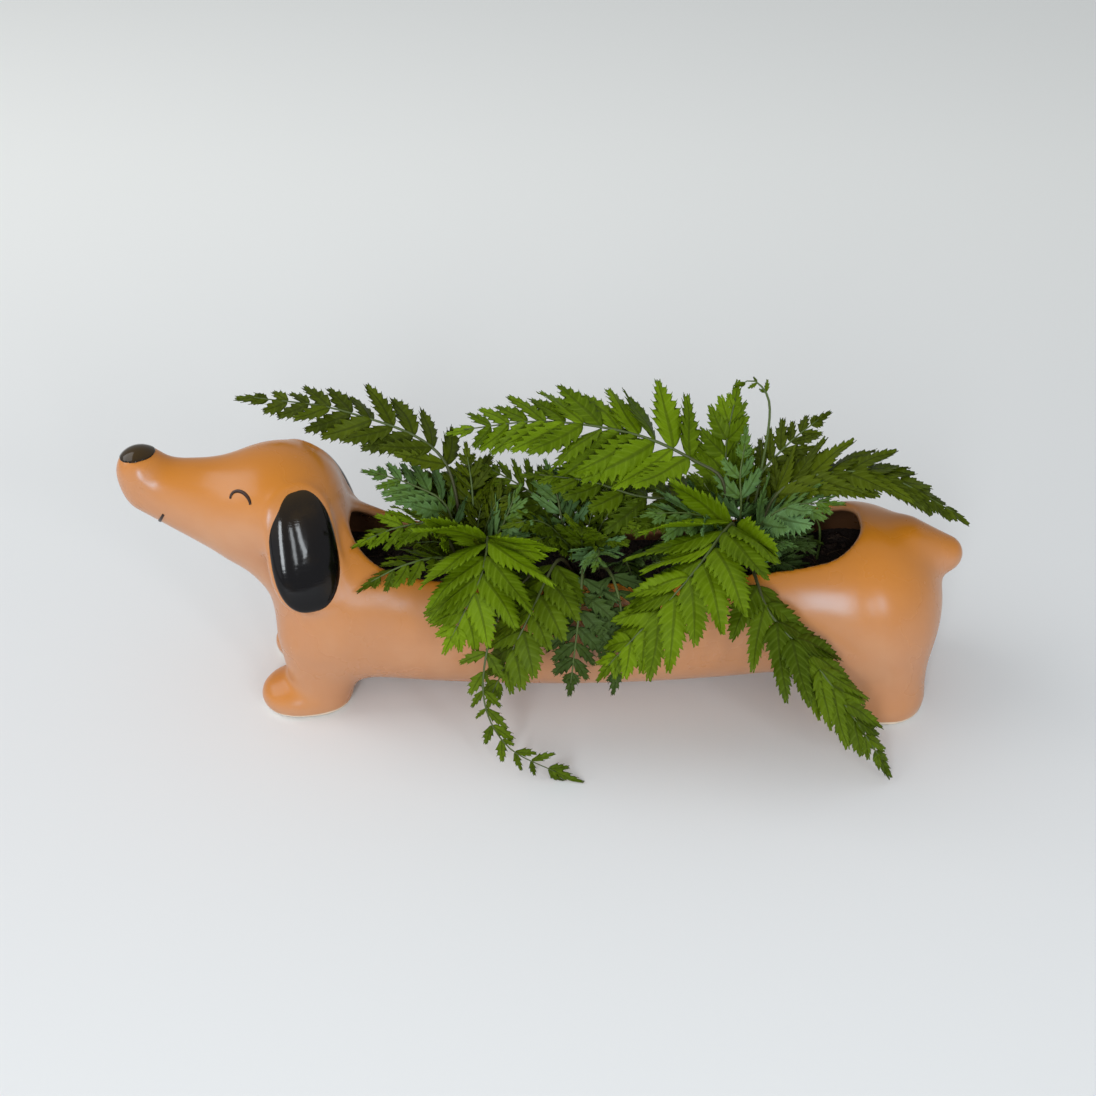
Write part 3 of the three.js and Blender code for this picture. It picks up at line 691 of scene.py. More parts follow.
@dataclass(frozen=True)
class DogForm:
    """The outside, the hollow and the mouth of the planter, as the maker's model gives them."""

    wall: float = 5
    rump_blend: float = 25
    chest_blend: float = 22
    neck_blend: float = 28
    muzzle_blend: float = 22
    nose_blend: float = 14
    face_blend: float = 26
    leg_blend: float = 16
    tail_blend: float = 12
    sole_blend: float = 4
    ear_blend: float = 7
    torso_front: float = -96
    torso_rear: float = 150
    torso_radius: float = 40
    torso_height: float = 55
    sag: float = 11
    sag_middle: float = 0
    sag_half_span: float = 135
    sag_lift: float = 0.2
    rump: Point = (157, 0, 49)
    rump_radii: Point = (40.5, 47, 42)
    chest: Point = (-107, 0, 54)
    chest_radii: Point = (25, 42, 38.5)
    neck_root: Point = (-96, 0, 62)
    neck_top: Point = (-124, 0, 84)
    neck_radii: Pair = (28, 23.5)
    neck_spread: float = 1.2
    head: Point = (-130, 0, 110.6)
    head_radii: Point = (28, 34, 23.8)
    muzzle_root: Point = (-148, 0, 102.6)
    muzzle_tip: Point = (-192.8, 0, 115.9)
    muzzle_radii: Pair = (25.6, 13.3)
    nose: Point = (-196.8, 0, 126)
    nose_radius: float = 10.8
    tail_root: Point = (177, 0, 82)
    tail_tip: Point = (197, 0, 76.6)
    tail_radii: Pair = (13.6, 9.4)
    sole_trim: float = 0.8
    mouth_middle: float = 27
    mouth_half_length: float = 125
    mouth_half_width: float = 23.5
    mouth_corner: float = 20
    rim_round: float = 5.2
    headspace: float = 14
    slope_step: float = 0.2
    settling: int = 3
    ray_steps: int = 30
    settling_reach: float = 0.8
    longest_ray: float = 120
    front_leg: Leg = Leg(-117, 22, 17.5, 15.5, 11.5, (39, 36, 17.5))
    rear_leg: Leg = Leg(170, 23, 18, 22, 12, (44, 37, 21.5))
    ears: tuple[Ear, Ear] = (Ear(1), Ear(-1))

    @property
    def rim_height(self) -> float:
        """The height of the rim at the middle of the dog."""
        drop = math.sqrt(self.torso_radius**2 - self.mouth_half_width**2)
        return self.torso_height - self.sag + drop

    @property
    def soil_top(self) -> float:
        """The level of the soil."""
        return self.rim_height - self.headspace

    def outside(self, places: Array) -> Array:
        """The distance to the outside of the dog without its ears.

        Args:
            places: the places, in millimetres.

        Returns:
            The distance of each place.
        """
        p = places + np.array([0, 0, self.sole_trim])
        span = (p[..., 0] - self.sag_middle) / self.sag_half_span
        sagging = p.copy()
        sagging[..., 2] += self.sag * np.maximum(1 - span * span, -self.sag_lift)
        front = (self.torso_front, 0, self.torso_height)
        rear = (self.torso_rear, 0, self.torso_height)
        trunk = taper(sagging, front, rear, self.torso_radius, self.torso_radius)
        trunk = soft_min(trunk, ellipsoid(p, self.rump, self.rump_radii), self.rump_blend)
        trunk = soft_min(trunk, ellipsoid(p, self.chest, self.chest_radii), self.chest_blend)
        narrowed = p * np.array([1, 1 / self.neck_spread, 1])
        neck = taper(narrowed, self.neck_root, self.neck_top, *self.neck_radii)
        trunk = soft_min(trunk, neck, self.neck_blend)
        face = ellipsoid(p, self.head, self.head_radii)
        muzzle = taper(p, self.muzzle_root, self.muzzle_tip, *self.muzzle_radii)
        face = soft_min(face, muzzle, self.muzzle_blend)
        nose = ellipsoid(p, self.nose, (self.nose_radius,) * 3)
        face = soft_min(face, nose, self.nose_blend)
        beside = np.stack([p[..., 0], np.abs(p[..., 1]), p[..., 2]], -1)
        legs = np.minimum(self.front_leg.distance(beside), self.rear_leg.distance(beside))
        dog = soft_min(soft_min(trunk, face, self.face_blend), legs, self.leg_blend)
        tail = taper(p, self.tail_root, self.tail_tip, *self.tail_radii)
        dog = soft_min(dog, tail, self.tail_blend)
        return soft_max(dog, -p[..., 2], self.sole_blend)

    def mouth(self, places: Array) -> Array:
        """The distance to the long mouth in its back, which is open above.

        Args:
            places: the places, in millimetres.

        Returns:
            The distance of each place.
        """
        across = np.abs(places[..., :2] - np.array([self.mouth_middle, 0]))
        half = np.array([self.mouth_half_length, self.mouth_half_width])
        inset = across - half + self.mouth_corner
        plan = np.linalg.norm(np.maximum(inset, 0), axis=-1) + np.minimum(inset.max(-1), 0)
        level = self.torso_height - self.sag
        return np.maximum(plan - self.mouth_corner, level - places[..., 2])

    def shell(self, places: Array) -> Array:
        """The distance to the clay, with the seats of its ears and its rounded rim.

        Args:
            places: the places, in millimetres.

        Returns:
            The distance of each place.
        """
        skin = self.outside(places)
        clay = skin
        for ear in self.ears:
            clay = soft_min(clay, ear.seat_distance(places), self.ear_blend)
        clay = np.maximum(clay, -places[..., 2])
        clay = np.maximum(clay, -(skin + self.wall))
        return soft_max(clay, -self.mouth(places), self.rim_round)

    def slope(self, places: Array, distance: Field) -> Array:
        """The direction in which a distance grows, of unit length.

        Args:
            places: the places, in millimetres.
            distance: the distance that is followed.

        Returns:
            The direction at each place.
        """
        moves = np.eye(3) * self.slope_step
        rise = [distance(places + move) - distance(places - move) for move in moves]
        return unit(np.stack(rise, -1))

    def skin(self, distance: Field, box: Box, step: float) -> Part:
        """A closed skin where a distance is zero.

        Args:
            distance: the distance of places.
            box: two corners of a box that the skin lies in.
            step: how far apart its points are.

        Returns:
            Its points and faces.
        """
        points, faces = skin_of(distance, *box, step)
        for _ in range(self.settling):
            miss = np.clip(distance(points), -self.settling_reach, self.settling_reach)
            points = points - self.slope(points, distance) * miss[:, None]
        return points, faces.tolist()

    def on_skin(self, origins: Array, towards: Array) -> Array:
        """Where lines from inside the dog meet its outside.

        Args:
            origins: a place inside the dog for each line.
            towards: the direction of each line, of unit length.

        Returns:
            The places on the outside.
        """
        inner, outer = np.zeros(len(origins)), np.full(len(origins), float(self.longest_ray))
        for _ in range(self.ray_steps):
            middle = (inner + outer) / 2
            inside = self.outside(origins + towards * middle[:, None]) < 0
            inner, outer = np.where(inside, middle, inner), np.where(inside, outer, middle)
        return origins + towards * inner[:, None]


def skin_of(distance: Field, low: Point, high: Point, step: float) -> tuple[Array, Array]:
    """A closed skin where a distance is zero, one point for each cell of a grid that it crosses.

    Args:
        distance: the distance of places in millimetres.
        low: the grid's lowest corner.
        high: its highest corner.
        step: the side of a cell.

    Returns:
        The points and the faces of four.
    """
    axes = [np.arange(a, b + step, step) for a, b in zip(low, high)]
    layers = (np.stack(np.meshgrid([x], *axes[1:], indexing="ij"), -1) for x in axes[0])
    values = np.stack([distance(layer)[0] for layer in layers])
    inside = values < 0
    cells = np.array(values.shape) - 1
    count = np.zeros(cells, int)
    corners = [np.array(c) for c in np.ndindex(2, 2, 2)]
    for corner in corners:
        window = tuple(slice(c, c + n) for c, n in zip(corner, cells))
        count += inside[window]
    crossed = np.argwhere((count > 0) & (count < 8))
    number = np.full(cells, -1)
    number[tuple(crossed.T)] = np.arange(len(crossed))
    total, hits = np.zeros((len(crossed), 3)), np.zeros(len(crossed))
    for first in corners:
        for axis in np.flatnonzero(first == 0):
            second = first + np.eye(3, dtype=int)[axis]
            a, b = values[tuple((crossed + first).T)], values[tuple((crossed + second).T)]
            cut = (a < 0) != (b < 0)
            share = np.where(cut, a / np.where(cut, a - b, 1), 0)
            total += cut[:, None] * (first + share[:, None] * (second - first))
            hits += cut
    points = np.array(low) + step * (crossed + total / hits[:, None])
    faces = []
    for axis in range(3):
        u, v = [other for other in range(3) if other != axis]
        here = tuple(slice(0, -1) if other == axis else slice(None) for other in range(3))
        there = tuple(slice(1, None) if other == axis else slice(None) for other in range(3))
        found = np.argwhere(inside[here] != inside[there])
        found = found[np.all((found[:, [u, v]] > 0) & (found[:, [u, v]] < cells[[u, v]]), axis=1)]
        face = np.empty((len(found), 4), int)
        for n, (du, dv) in enumerate([(0, 0), (1, 0), (1, 1), (0, 1)]):
            cell = found.copy()
            cell[:, u] -= du
            cell[:, v] -= dv
            face[:, n] = number[tuple(cell.T)]
        outward = inside[here][tuple(found.T)] ^ (axis == 1)
        face[~outward] = face[~outward][:, ::-1]
        faces.append(face)
    return points, np.concatenate(faces)


# Meshes


def grid_faces(rows: int, columns: int, closed: bool = False) -> Array:
    """The faces of a grid of points, row by row, which may close round its columns.

    Args:
        rows: how many rows it has.
        columns: how many points each row has.
        closed: whether the last column joins the first.

    Returns:
        The faces, of four points each.
    """
    last = columns if closed else columns - 1
    r, c = np.meshgrid(np.arange(rows - 1), np.arange(last), indexing="ij")
    here, beside = r * columns + c, r * columns + (c + 1) % columns
    return np.stack([here, beside, beside + columns, here + columns], -1).reshape(-1, 4)


def closed_sheet(rows: int, columns: int) -> list[list[int]]:
    """The faces of a thin sheet: an upper grid, the same grid below it and the rim between them.

    Args:
        rows: how many rows it has.
        columns: how many points each row has.

    Returns:
        The faces.
    """
    top = grid_faces(rows, columns)
    below = rows * columns
    faces = [*top.tolist(), *(top[:, ::-1] + below).tolist()]
    rim = [*range(columns), *(columns * r + columns - 1 for r in range(1, rows))]
    rim += range(below - 2, below - columns - 1, -1)
    rim += (columns * r for r in range(rows - 2, 0, -1))
    faces += [[b, a, a + below, b + below] for a, b in zip(rim, rim[1:] + rim[:1])]
    return faces


def ring_grid(rows: Array, sides: int) -> tuple[Array, Array]:
    """The row's value and the turn of each point, for rings of points one above the other."""
    return np.meshgrid(rows, np.linspace(0, FULL_TURN, sides, endpoint=False), indexing="ij")


def for_tube(values: Array, sides: int) -> Array:
    """A value for each point of a tube, from one value for each place of its path."""
    return np.concatenate([np.repeat(values, sides, axis=0), values[:1], values[-1:]])


def tube(path: Array, radii: Array, sides: int = TUBE_SIDES) -> Part:
    """A round closed rod.

    Args:
        path: the points of its middle line.
        radii: its radius at each of them.
        sides: how many sides it has.

    Returns:
        Its points, ring by ring and then its two ends, and its faces.
    """
    tangents = unit(np.gradient(path, axis=0))
    start = np.cross(tangents[0], OFF_AXIS)
    circle = []
    angles = np.linspace(0, FULL_TURN, sides, endpoint=False)[:, None]
    for tangent, radius in zip(tangents, radii):
        start = square_to(tangent, start)
        other = np.cross(tangent, start)
        circle.append(radius * (np.cos(angles) * start + np.sin(angles) * other))
    ends = np.zeros((2, 3))
    points = for_tube(path, sides) + np.concatenate([*circle, ends])
    faces = grid_faces(len(path), sides, True).tolist()
    foot, tip, top = len(points) - 2, len(points) - 1, (len(path) - 1) * sides
    for n in range(sides):
        after = (n + 1) % sides
        faces += [[foot, after, n], [tip, top + n, top + after]]
    return points, faces


def put(name: str, data: bpy.types.ID) -> bpy.types.Object:
    """Puts a new object that shows some data into the scene.

    Args:
        name: its name.
        data: what it shows.

    Returns:
        The object.
    """
    made = bpy.data.objects.new(name, data)
    bpy.context.scene.collection.objects.link(made)
    return made


class Facets:
    """Points, faces, marks and material numbers, gathered for one piece."""

    def __init__(self, part: Part | None = None, marks: Array | None = None) -> None:
        """Starts with a part and its marks, or empty.

        Args:
            part: its points in millimetres and its faces.
            marks: three numbers for each point.
        """
        self.points: list[Array] = []
        self.marks: list[Array] = []
        self.faces: list[list[int]] = []
        self.slots: list[int] = []
        self.count = 0
        if part is not None:
            self.add(part, marks)

    def add(self, part: Part, marks: Array | None = None, slot: int = 0) -> None:
        """Adds a part.

        Args:
            part: its points in millimetres and its faces.
            marks: three numbers for each point, for the material to read.
            slot: the number of its material.
        """
        points, faces = part
        self.points.append(points)
        self.marks.append(np.zeros((len(points), 3)) if marks is None else marks)
        self.faces.extend([n + self.count for n in face] for face in faces)
        self.slots.extend([slot] * len(faces))
        self.count += len(points)

    def keep_off_floor(self, height: float = 2) -> None:
        """Raises what would pass through the floor, so that it lies just above it.

        Args:
            height: the height where the raising starts, in millimetres.
        """
        for points in self.points:
            z = points[:, 2]
            sunk = height * np.exp(np.minimum(z - height, 0) / height)
            points[:, 2] = np.where(z < height, sunk, z)

    def piece(self, name: str, slot: Slot, materials: list, *replaced: str) -> None:
        """Makes the piece, which rides on the planter.

        Args:
            name: its name.
            slot: the record's slot for the piece; not used.
            materials: its materials, in the order of their numbers.
            replaced: the nodes that it stands for.
        """
        mesh = bpy.data.meshes.new(name)
        mesh.from_pydata((np.concatenate(self.points) * MM).tolist(), [], self.faces)
        marks = mesh.attributes.new(MARKS, "FLOAT_VECTOR", "POINT")
        marks.data.foreach_set("vector", np.concatenate(self.marks).astype(np.float32).ravel())
        mesh.polygons.foreach_set("material_index", self.slots)
        mesh.shade_smooth()
        for material in materials:
            mesh.materials.append(material)
        made = put(name, mesh)
        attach(made, ROOT)
        if replaced:
            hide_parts(*replaced)
        log.info("%s: %d points, %d faces", name, self.count, len(self.faces))


# The pot


@dataclass(frozen=True)
class Pot:
    """The glazed shell with its ears, nose, eyes and mouth."""

    form: DogForm = DogForm()
    box: Box = ((-214, -56, -3), (212, 56, 142))
    step: float = 1.5
    ear_rings: int = 20
    ear_sides: int = 72
    ear_foot: float = -0.3
    nose_box: Box = ((-212, -15, 124), (-180, 15, 140))
    nose_step: float = 0.6
    nose_level: float = 132.8
    nose_tilt: float = 0.1
    nose_proud: float = 0.45
    nose_round: float = 0.8
    line_radius: float = 0.9
    line_proud: float = 0.1
    line_flatness: float = 0.5
    line_sides: int = 8
    line_end: float = 0.12
    eye: Point = (-144.8, 0, 121.8)
    eye_half_width: float = 5.1
    eye_rise: float = 3.5
    eye_points: int = 25
    smile_half_angle: float = 1.15
    smile_behind_tip: float = 2
    smile_setback: float = 6
    smile_points: int = 41

    def build(self) -> None:
        """Builds every piece of the pot."""
        gloss = BlackGlaze().material()
        self.build_shell(TanGlaze().material())
        for ear in self.form.ears:
            self.build_ear(ear, gloss)
        self.build_nose(gloss)
        # The enamel lines take the same brown painted sheen on up-facing parts.
        enamel = BlackGlaze("black_enamel_line", paint(40, 22, 14), paint(66, 36, 18), 0.3)
        ink = enamel.material()
        self.build_line(self.eye_path(-1), "eye_line_left", ink)
        self.build_line(self.eye_path(1), "eye_line_right", ink)
        self.build_line(self.smile_path(), "mouth_line", ink)

    def build_shell(self, material: Material) -> None:
        """Builds the clay shell; its first mark is the depth into the wall.

        Args:
            material: its material.
        """
        points, faces = self.form.skin(self.form.shell, self.box, self.step)
        points[:, 2] = np.maximum(points[:, 2], 0)
        marks = np.zeros_like(points)
        marks[:, 0] = np.clip(-self.form.outside(points) / self.form.wall, 0, 1)
        shell = Facets((points, faces), marks)
        shell.piece("planter_shell", Slot.TAN_GLAZE, [material], "planter_body")

    def build_ear(self, ear: Ear, material: Material) -> None:
        """Builds a domed black ear.

        Args:
            ear: the ear's form.
            material: its material.
        """
        lifts = np.linspace(self.ear_foot, 1, self.ear_rings) * math.pi / 2
        heights, angles = ring_grid(np.sin(lifts), self.ear_sides)
        reach = np.sqrt(1 - heights**2)
        power = 2 / ear.squareness
        up, along = (
            np.sign(way) * np.abs(way) ** power * reach for way in (np.sin(angles), np.cos(angles))
        )
        along = along * (1 - ear.egg * up) * ear.half_width
        out = heights * ear.half_thickness * ear.side
        own = np.stack([along, out, up * ear.half_length], -1).reshape(-1, 3)
        points = own @ ear.axes().T + ear.middle()
        faces = grid_faces(self.ear_rings, self.ear_sides, True).tolist()
        faces.append(list(range(self.ear_sides))[::-1])
        if ear.side > 0:
            faces = [face[::-1] for face in faces]
        name = "ear_right" if ear.side > 0 else "ear_left"
        Facets((points, faces)).piece(f"{name}_dome", Slot.BLACK_GLAZE, [material], name)

    def build_nose(self, material: Material) -> None:
        """Builds the black cap on the tip of the muzzle.

        Args:
            material: its material.
        """
        form = self.form

        def cap(places: Array) -> Array:
            """The distance to the cap.

            Args:
                places: the places, in millimetres.

            Returns:
                The distance of each place.
            """
            level = self.nose_level + self.nose_tilt * (places[..., 0] - form.nose[0])
            proud = form.outside(places) - self.nose_proud
            return soft_max(proud, level - places[..., 2], self.nose_round)

        nose = Facets(form.skin(cap, self.nose_box, self.nose_step))
        nose.piece("nose_cap", Slot.BLACK_GLAZE, [material], "nose")

    def eye_path(self, side: int) -> Array:
        """The middle line of a closed eye.

        Args:
            side: 1 for the dog's right side, -1 for its left.

        Returns:
            The places along it.
        """
        angles = np.linspace(0, math.pi, self.eye_points)
        x = self.eye[0] + self.eye_half_width * np.cos(angles)
        z = self.eye[2] + self.eye_rise * np.sin(angles)
        origins = np.stack([x, np.zeros_like(x), z], -1)
        return self.form.on_skin(origins, np.tile([0.0, side, 0.0], (len(x), 1)))

    def smile_path(self) -> Array:
        """The middle line of the mouth, under the muzzle.

        Returns:
            The places along it.
        """
        shares = np.linspace(-1, 1, self.smile_points)
        angles = shares * self.smile_half_angle
        x = self.form.muzzle_tip[0] + self.smile_behind_tip + self.smile_setback * shares**2
        level = np.zeros_like(x)
        origins = np.stack([x, level, level + self.form.muzzle_tip[2]], -1)
        towards = np.stack([level, np.sin(angles), -np.cos(angles)], -1)
        return self.form.on_skin(origins, towards)

    def build_line(self, path: Array, node: str, material: Material) -> None:
        """Builds a painted line, flattened on to the clay and thin at its ends.

        Args:
            path: the places along it.
            node: the node that it stands for.
            material: its material.
        """
        slopes = for_tube(self.form.slope(path, self.form.outside), self.line_sides)
        shares = np.linspace(self.line_end, 1 - self.line_end, len(path))
        radii = self.line_radius * np.sin(shares * math.pi) ** 0.4
        points, faces = tube(path, radii, self.line_sides)
        from_path = points - for_tube(path, self.line_sides)
        lift = np.sum(from_path * slopes, axis=1, keepdims=True)
        points = points + slopes * (self.line_proud - self.line_flatness * lift)
        stroke = Facets((points, faces))
        stroke.piece(f"{node}_stroke", Slot.BLACK_ENAMEL, [material], node)


# The planting


@dataclass(frozen=True)
class SoilBed:
    """The soil's rough top, with crumbs of bark and thin roots in it."""

    form: DogForm = DogForm()
    depth: float = 6
    roughness: float = 1.6
    step: float = 1.3
    low: Pair = (-152, -46)
    high: Pair = (196, 46)
    under: float = 3
    over: float = 7
    into_wall: float = 0.6
    strewn_x: Pair = (-104, 158)
    strewn_y: Pair = (-34, 34)
    crumbs: int = 620
    crumb_rings: int = 4
    crumb_sides: int = 6
    crumb_pole: float = 0.35
    crumb_seed: int = 11
    crumb_size: Pair = (0.7, 1.7)
    crumb_large: float = 1.7
    crumb_stretch: Pair = (0.5, 1.5)
    crumb_flatness: float = 0.7
    crumb_roughness: Pair = (0.72, 1.2)
    crumb_lift: float = 0.15
    crumb_inset: float = 3
    fibres: int = 170
    fibre_points: int = 9
    fibre_seed: int = 12
    fibre_length: Pair = (7, 24)
    fibre_bend: float = 1.6
    fibre_lift: float = 0.5
    fibre_arch: Pair = (0, 3)
    fibre_radii: Pair = (0.26, 0.1)
    fibre_stoutness: Pair = (0.7, 1.3)
    fibre_inset: float = 1.5
    fibre_sides: int = 5

    def top(self, x: Array, y: Array) -> Array:
        """The height of the soil at a place.

        Args:
            x: how far along the dog it is.
            y: how far across the dog it is.

        Returns:
            The height.
        """
        waves = np.sin(x * 0.21 + 1.7 * np.sin(y * 0.17))
        waves = waves + np.sin(y * 0.33 + 2.1 * np.sin(x * 0.09))
        small = np.sin(x * 0.9 + 2 * np.sin(y * 0.7)) * np.sin(y * 1.1 + 2 * np.sin(x * 0.6))
        return self.form.soil_top + self.roughness * (0.8 + 0.22 * waves + 0.3 * small)

    def build(self) -> None:
        """Builds the soil and what lies in it."""
        earth = Earth("potting_soil", paint(22, 15, 11), paint(66, 46, 32)).material()
        self.build_top(earth)
        bark = Earth("bark_crumbs", paint(30, 20, 14), paint(98, 70, 48), 1.0)
        self.build_crumbs(bark.material())
        roots = Earth("fine_roots", paint(52, 37, 25), paint(134, 104, 70), 0.8)
        self.build_fibres(roots.material())
        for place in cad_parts["potting_soil"].material_slots:
            place.link = "OBJECT"
            place.material = earth

    def hollow(self, places: Array) -> Array:
        """The distance to the hollow, a little into its wall."""
        return self.form.outside(places) + self.form.wall - self.into_wall

    def build_top(self, material: Material) -> None:
        """Builds the top layer.

        Args:
            material: its material.
        """
        foot = self.form.soil_top - self.depth

        def layer(places: Array) -> Array:
            """The distance to the layer.

            Args:
                places: the places, in millimetres.

            Returns:
                The distance of each place.
            """
            height = places[..., 2]
            slab = np.maximum(height - self.top(places[..., 0], places[..., 1]), foot - height)
            return np.maximum(slab, self.hollow(places))

        low, high = (*self.low, foot - self.under), (*self.high, self.form.soil_top + self.over)
        points, faces = skin_of(layer, low, high, self.step)
        Facets((points, faces.tolist())).piece("soil_top", Slot.POTTING_SOIL, [material])

    def spots(self, draw: Draw, count: int) -> Array:
        """Places on the soil, spread over its whole top.

        Args:
            draw: the source of random numbers.
            count: how many are wanted.

        Returns:
            The places.
        """
        x = draw.uniform(*self.strewn_x, 3 * count)
        y = draw.uniform(*self.strewn_y, 3 * count)
        places = np.stack([x, y, self.top(x, y)], -1)
        return places[self.hollow(places) < -self.crumb_inset][:count]

    def build_crumbs(self, material: Material) -> None:
        """Builds crumbs of bark, each a small uneven lump.

        Args:
            material: its material.
        """
        draw = np.random.default_rng(self.crumb_seed)
        crumbs = Facets()
        count, sides = self.crumb_rings, self.crumb_sides
        poles = np.linspace(self.crumb_pole, math.pi - self.crumb_pole, count)
        polar, turn = ring_grid(poles, sides)
        ball = [np.sin(polar) * np.cos(turn), np.sin(polar) * np.sin(turn), np.cos(polar)]
        ball = np.stack(ball, -1).reshape(-1, 3)
        faces = [*grid_faces(count, sides, True)[:, ::-1].tolist(), list(range(sides))]
        faces.append(list(range((count - 1) * sides, count * sides))[::-1])
        for place in self.spots(draw, self.crumbs):
            size = draw.uniform(*self.crumb_size) * draw.choice([1, 1, 1, self.crumb_large])
            flatness = np.array([1, 1, self.crumb_flatness])
            stretch = size * draw.uniform(*self.crumb_stretch, 3) * flatness
            lump = ball * stretch * draw.uniform(*self.crumb_roughness, (len(ball), 1))
            lump = lump @ turned(2, draw.uniform(0, FULL_TURN)).T
            crumbs.add((lump + place + [0, 0, self.crumb_lift * size], faces))
        crumbs.piece("bark_crumbs", Slot.POTTING_SOIL, [material])

    def build_fibres(self, material: Material) -> None:
        """Builds thin roots that lie on the soil in loose bends.

        Args:
            material: its material.
        """
        draw = np.random.default_rng(self.fibre_seed)
        fibres = Facets()
        shares = np.linspace(0, 1, self.fibre_points)
        for place in self.spots(draw, self.fibres):
            length, heading = draw.uniform(*self.fibre_length), draw.uniform(0, FULL_TURN)
            ways = heading + draw.uniform(-self.fibre_bend, self.fibre_bend) * shares
            steps = np.stack([np.cos(ways), np.sin(ways)], -1)
            x, y = (place[:2] + np.cumsum(steps, axis=0) * length / len(shares)).T
            arch = draw.uniform(*self.fibre_arch) * np.sin(shares * math.pi)
            z = self.top(x, y) + self.fibre_lift + arch
            path = np.stack([x, y, z], -1)
            if self.hollow(path).max() < -self.fibre_inset:
                radii = np.linspace(*self.fibre_radii, len(shares))
                radii = radii * draw.uniform(*self.fibre_stoutness)
                fibres.add(tube(path, radii, self.fibre_sides))
        fibres.piece("fine_roots", Slot.ROOT, [material])


class Look(Enum):
    """How a leaf is coloured, from 0 to 255: its blade, its lit parts, its veins and its rib."""

    # SUNLIT is a lit copy of the green, MIDDLE and DEEP are darker copies of it, and SHADE is a
    # shaded copy of the blue-green: painted light, given to each frond by how much light falls on
    # it.
    SUNLIT = ((70, 90, 0), (106, 132, 8), (122, 144, 40), (58, 72, 6))
    MIDDLE = ((56, 72, 0), (90, 110, 10), (108, 128, 44), (50, 60, 8))
    DEEP = ((50, 60, 0), (80, 93, 6), (96, 110, 38), (44, 52, 6))
    BLUE = ((74, 98, 16), (98, 132, 84), (116, 148, 104), (54, 72, 22))
    SHADE = ((48, 63, 8), (68, 88, 46), (86, 106, 66), (40, 52, 14))

    @property
    def bluish(self) -> bool:
        """Whether it is blue-green."""
        return self in (Look.BLUE, Look.SHADE)

    def material(self) -> Material:
        """Builds the leaf's material."""
        colours = (paint(*colour) for colour in self.value)
        return LeafSkin(f"leaf_{self.name.lower()}", *colours).material()


class Habit(Enum):
    """How a frond carries its leaflets: in one broad blade, or as small ones apart on a stalk."""

    BLADE = 1
    SPRIG = 2


class Midrib:
    """A smooth line through points, read by its share of length."""

    def __init__(self, points: Array) -> None:
        """Samples a centripetal curve through the points.

        Args:
            points: the points that it passes.
        """
        before, after = 2 * points[0] - points[1], 2 * points[-1] - points[-2]
        knots = np.concatenate([[before], points, [after]])
        samples = []
        shares = np.linspace(0, 1, 40)[:, None]
        for n in range(1, len(knots) - 2):
            a, b, c, d = knots[n - 1 : n + 3]
            ab, bc, cd = (math.sqrt(np.linalg.norm(q - p)) for p, q in ((a, b), (b, c), (c, d)))
            leave = ((b - a) / ab - (c - a) / (ab + bc) + (c - b) / bc) * bc
            arrive = ((c - b) / bc - (d - b) / (bc + cd) + (d - c) / cd) * bc
            square, cube = shares**2, shares**3
            towards = 3 * square - 2 * cube
            bend = (cube - 2 * square + shares) * leave + (cube - square) * arrive
            samples.append((1 - towards) * b + towards * c + bend)
        self.line = np.concatenate([s[:-1] for s in samples] + [samples[-1][-1:]])
        steps = np.linalg.norm(np.diff(self.line, axis=0), axis=1)
        self.reached = np.concatenate([[0], np.cumsum(steps)])
        self.length = float(self.reached[-1])

    def at(self, share: float | Array) -> Array:
        """The place at a share of the length."""
        want = np.clip(share, 0, 1) * self.length
        return np.stack([np.interp(want, self.reached, self.line[:, n]) for n in range(3)], -1)

    def along(self, share: float) -> Array:
        """The direction at a share of the length, of unit length."""
        return unit(self.at(min(share + 0.01, 1)) - self.at(max(share - 0.01, 0)))


class Edge(Enum):
    """The edge of a leaflet, lobe by lobe: where a vein ends, how far out, and how strong it is."""

    SAWN = ((0.0, 0.66, 0.0), (0.3, 0.88, 0.6), (0.4, 0.8, 0.3), (0.7, 1.0, 1.0))
    CUT = (
        (0.0, 0.5, 0.0),
        (0.26, 0.82, 0.7),
        (0.36, 0.72, 0.3),
        (0.64, 1.0, 1.0),
        (0.76, 0.86, 0.3),
    )

    @property
    def lobe_length(self) -> float:
        """The length of a tooth or lobe."""
        return 4.6 if self is Edge.SAWN else 5


ACROSS = np.array([-1, -0.7, -0.35, 0, 0.35, 0.7, 1.0])


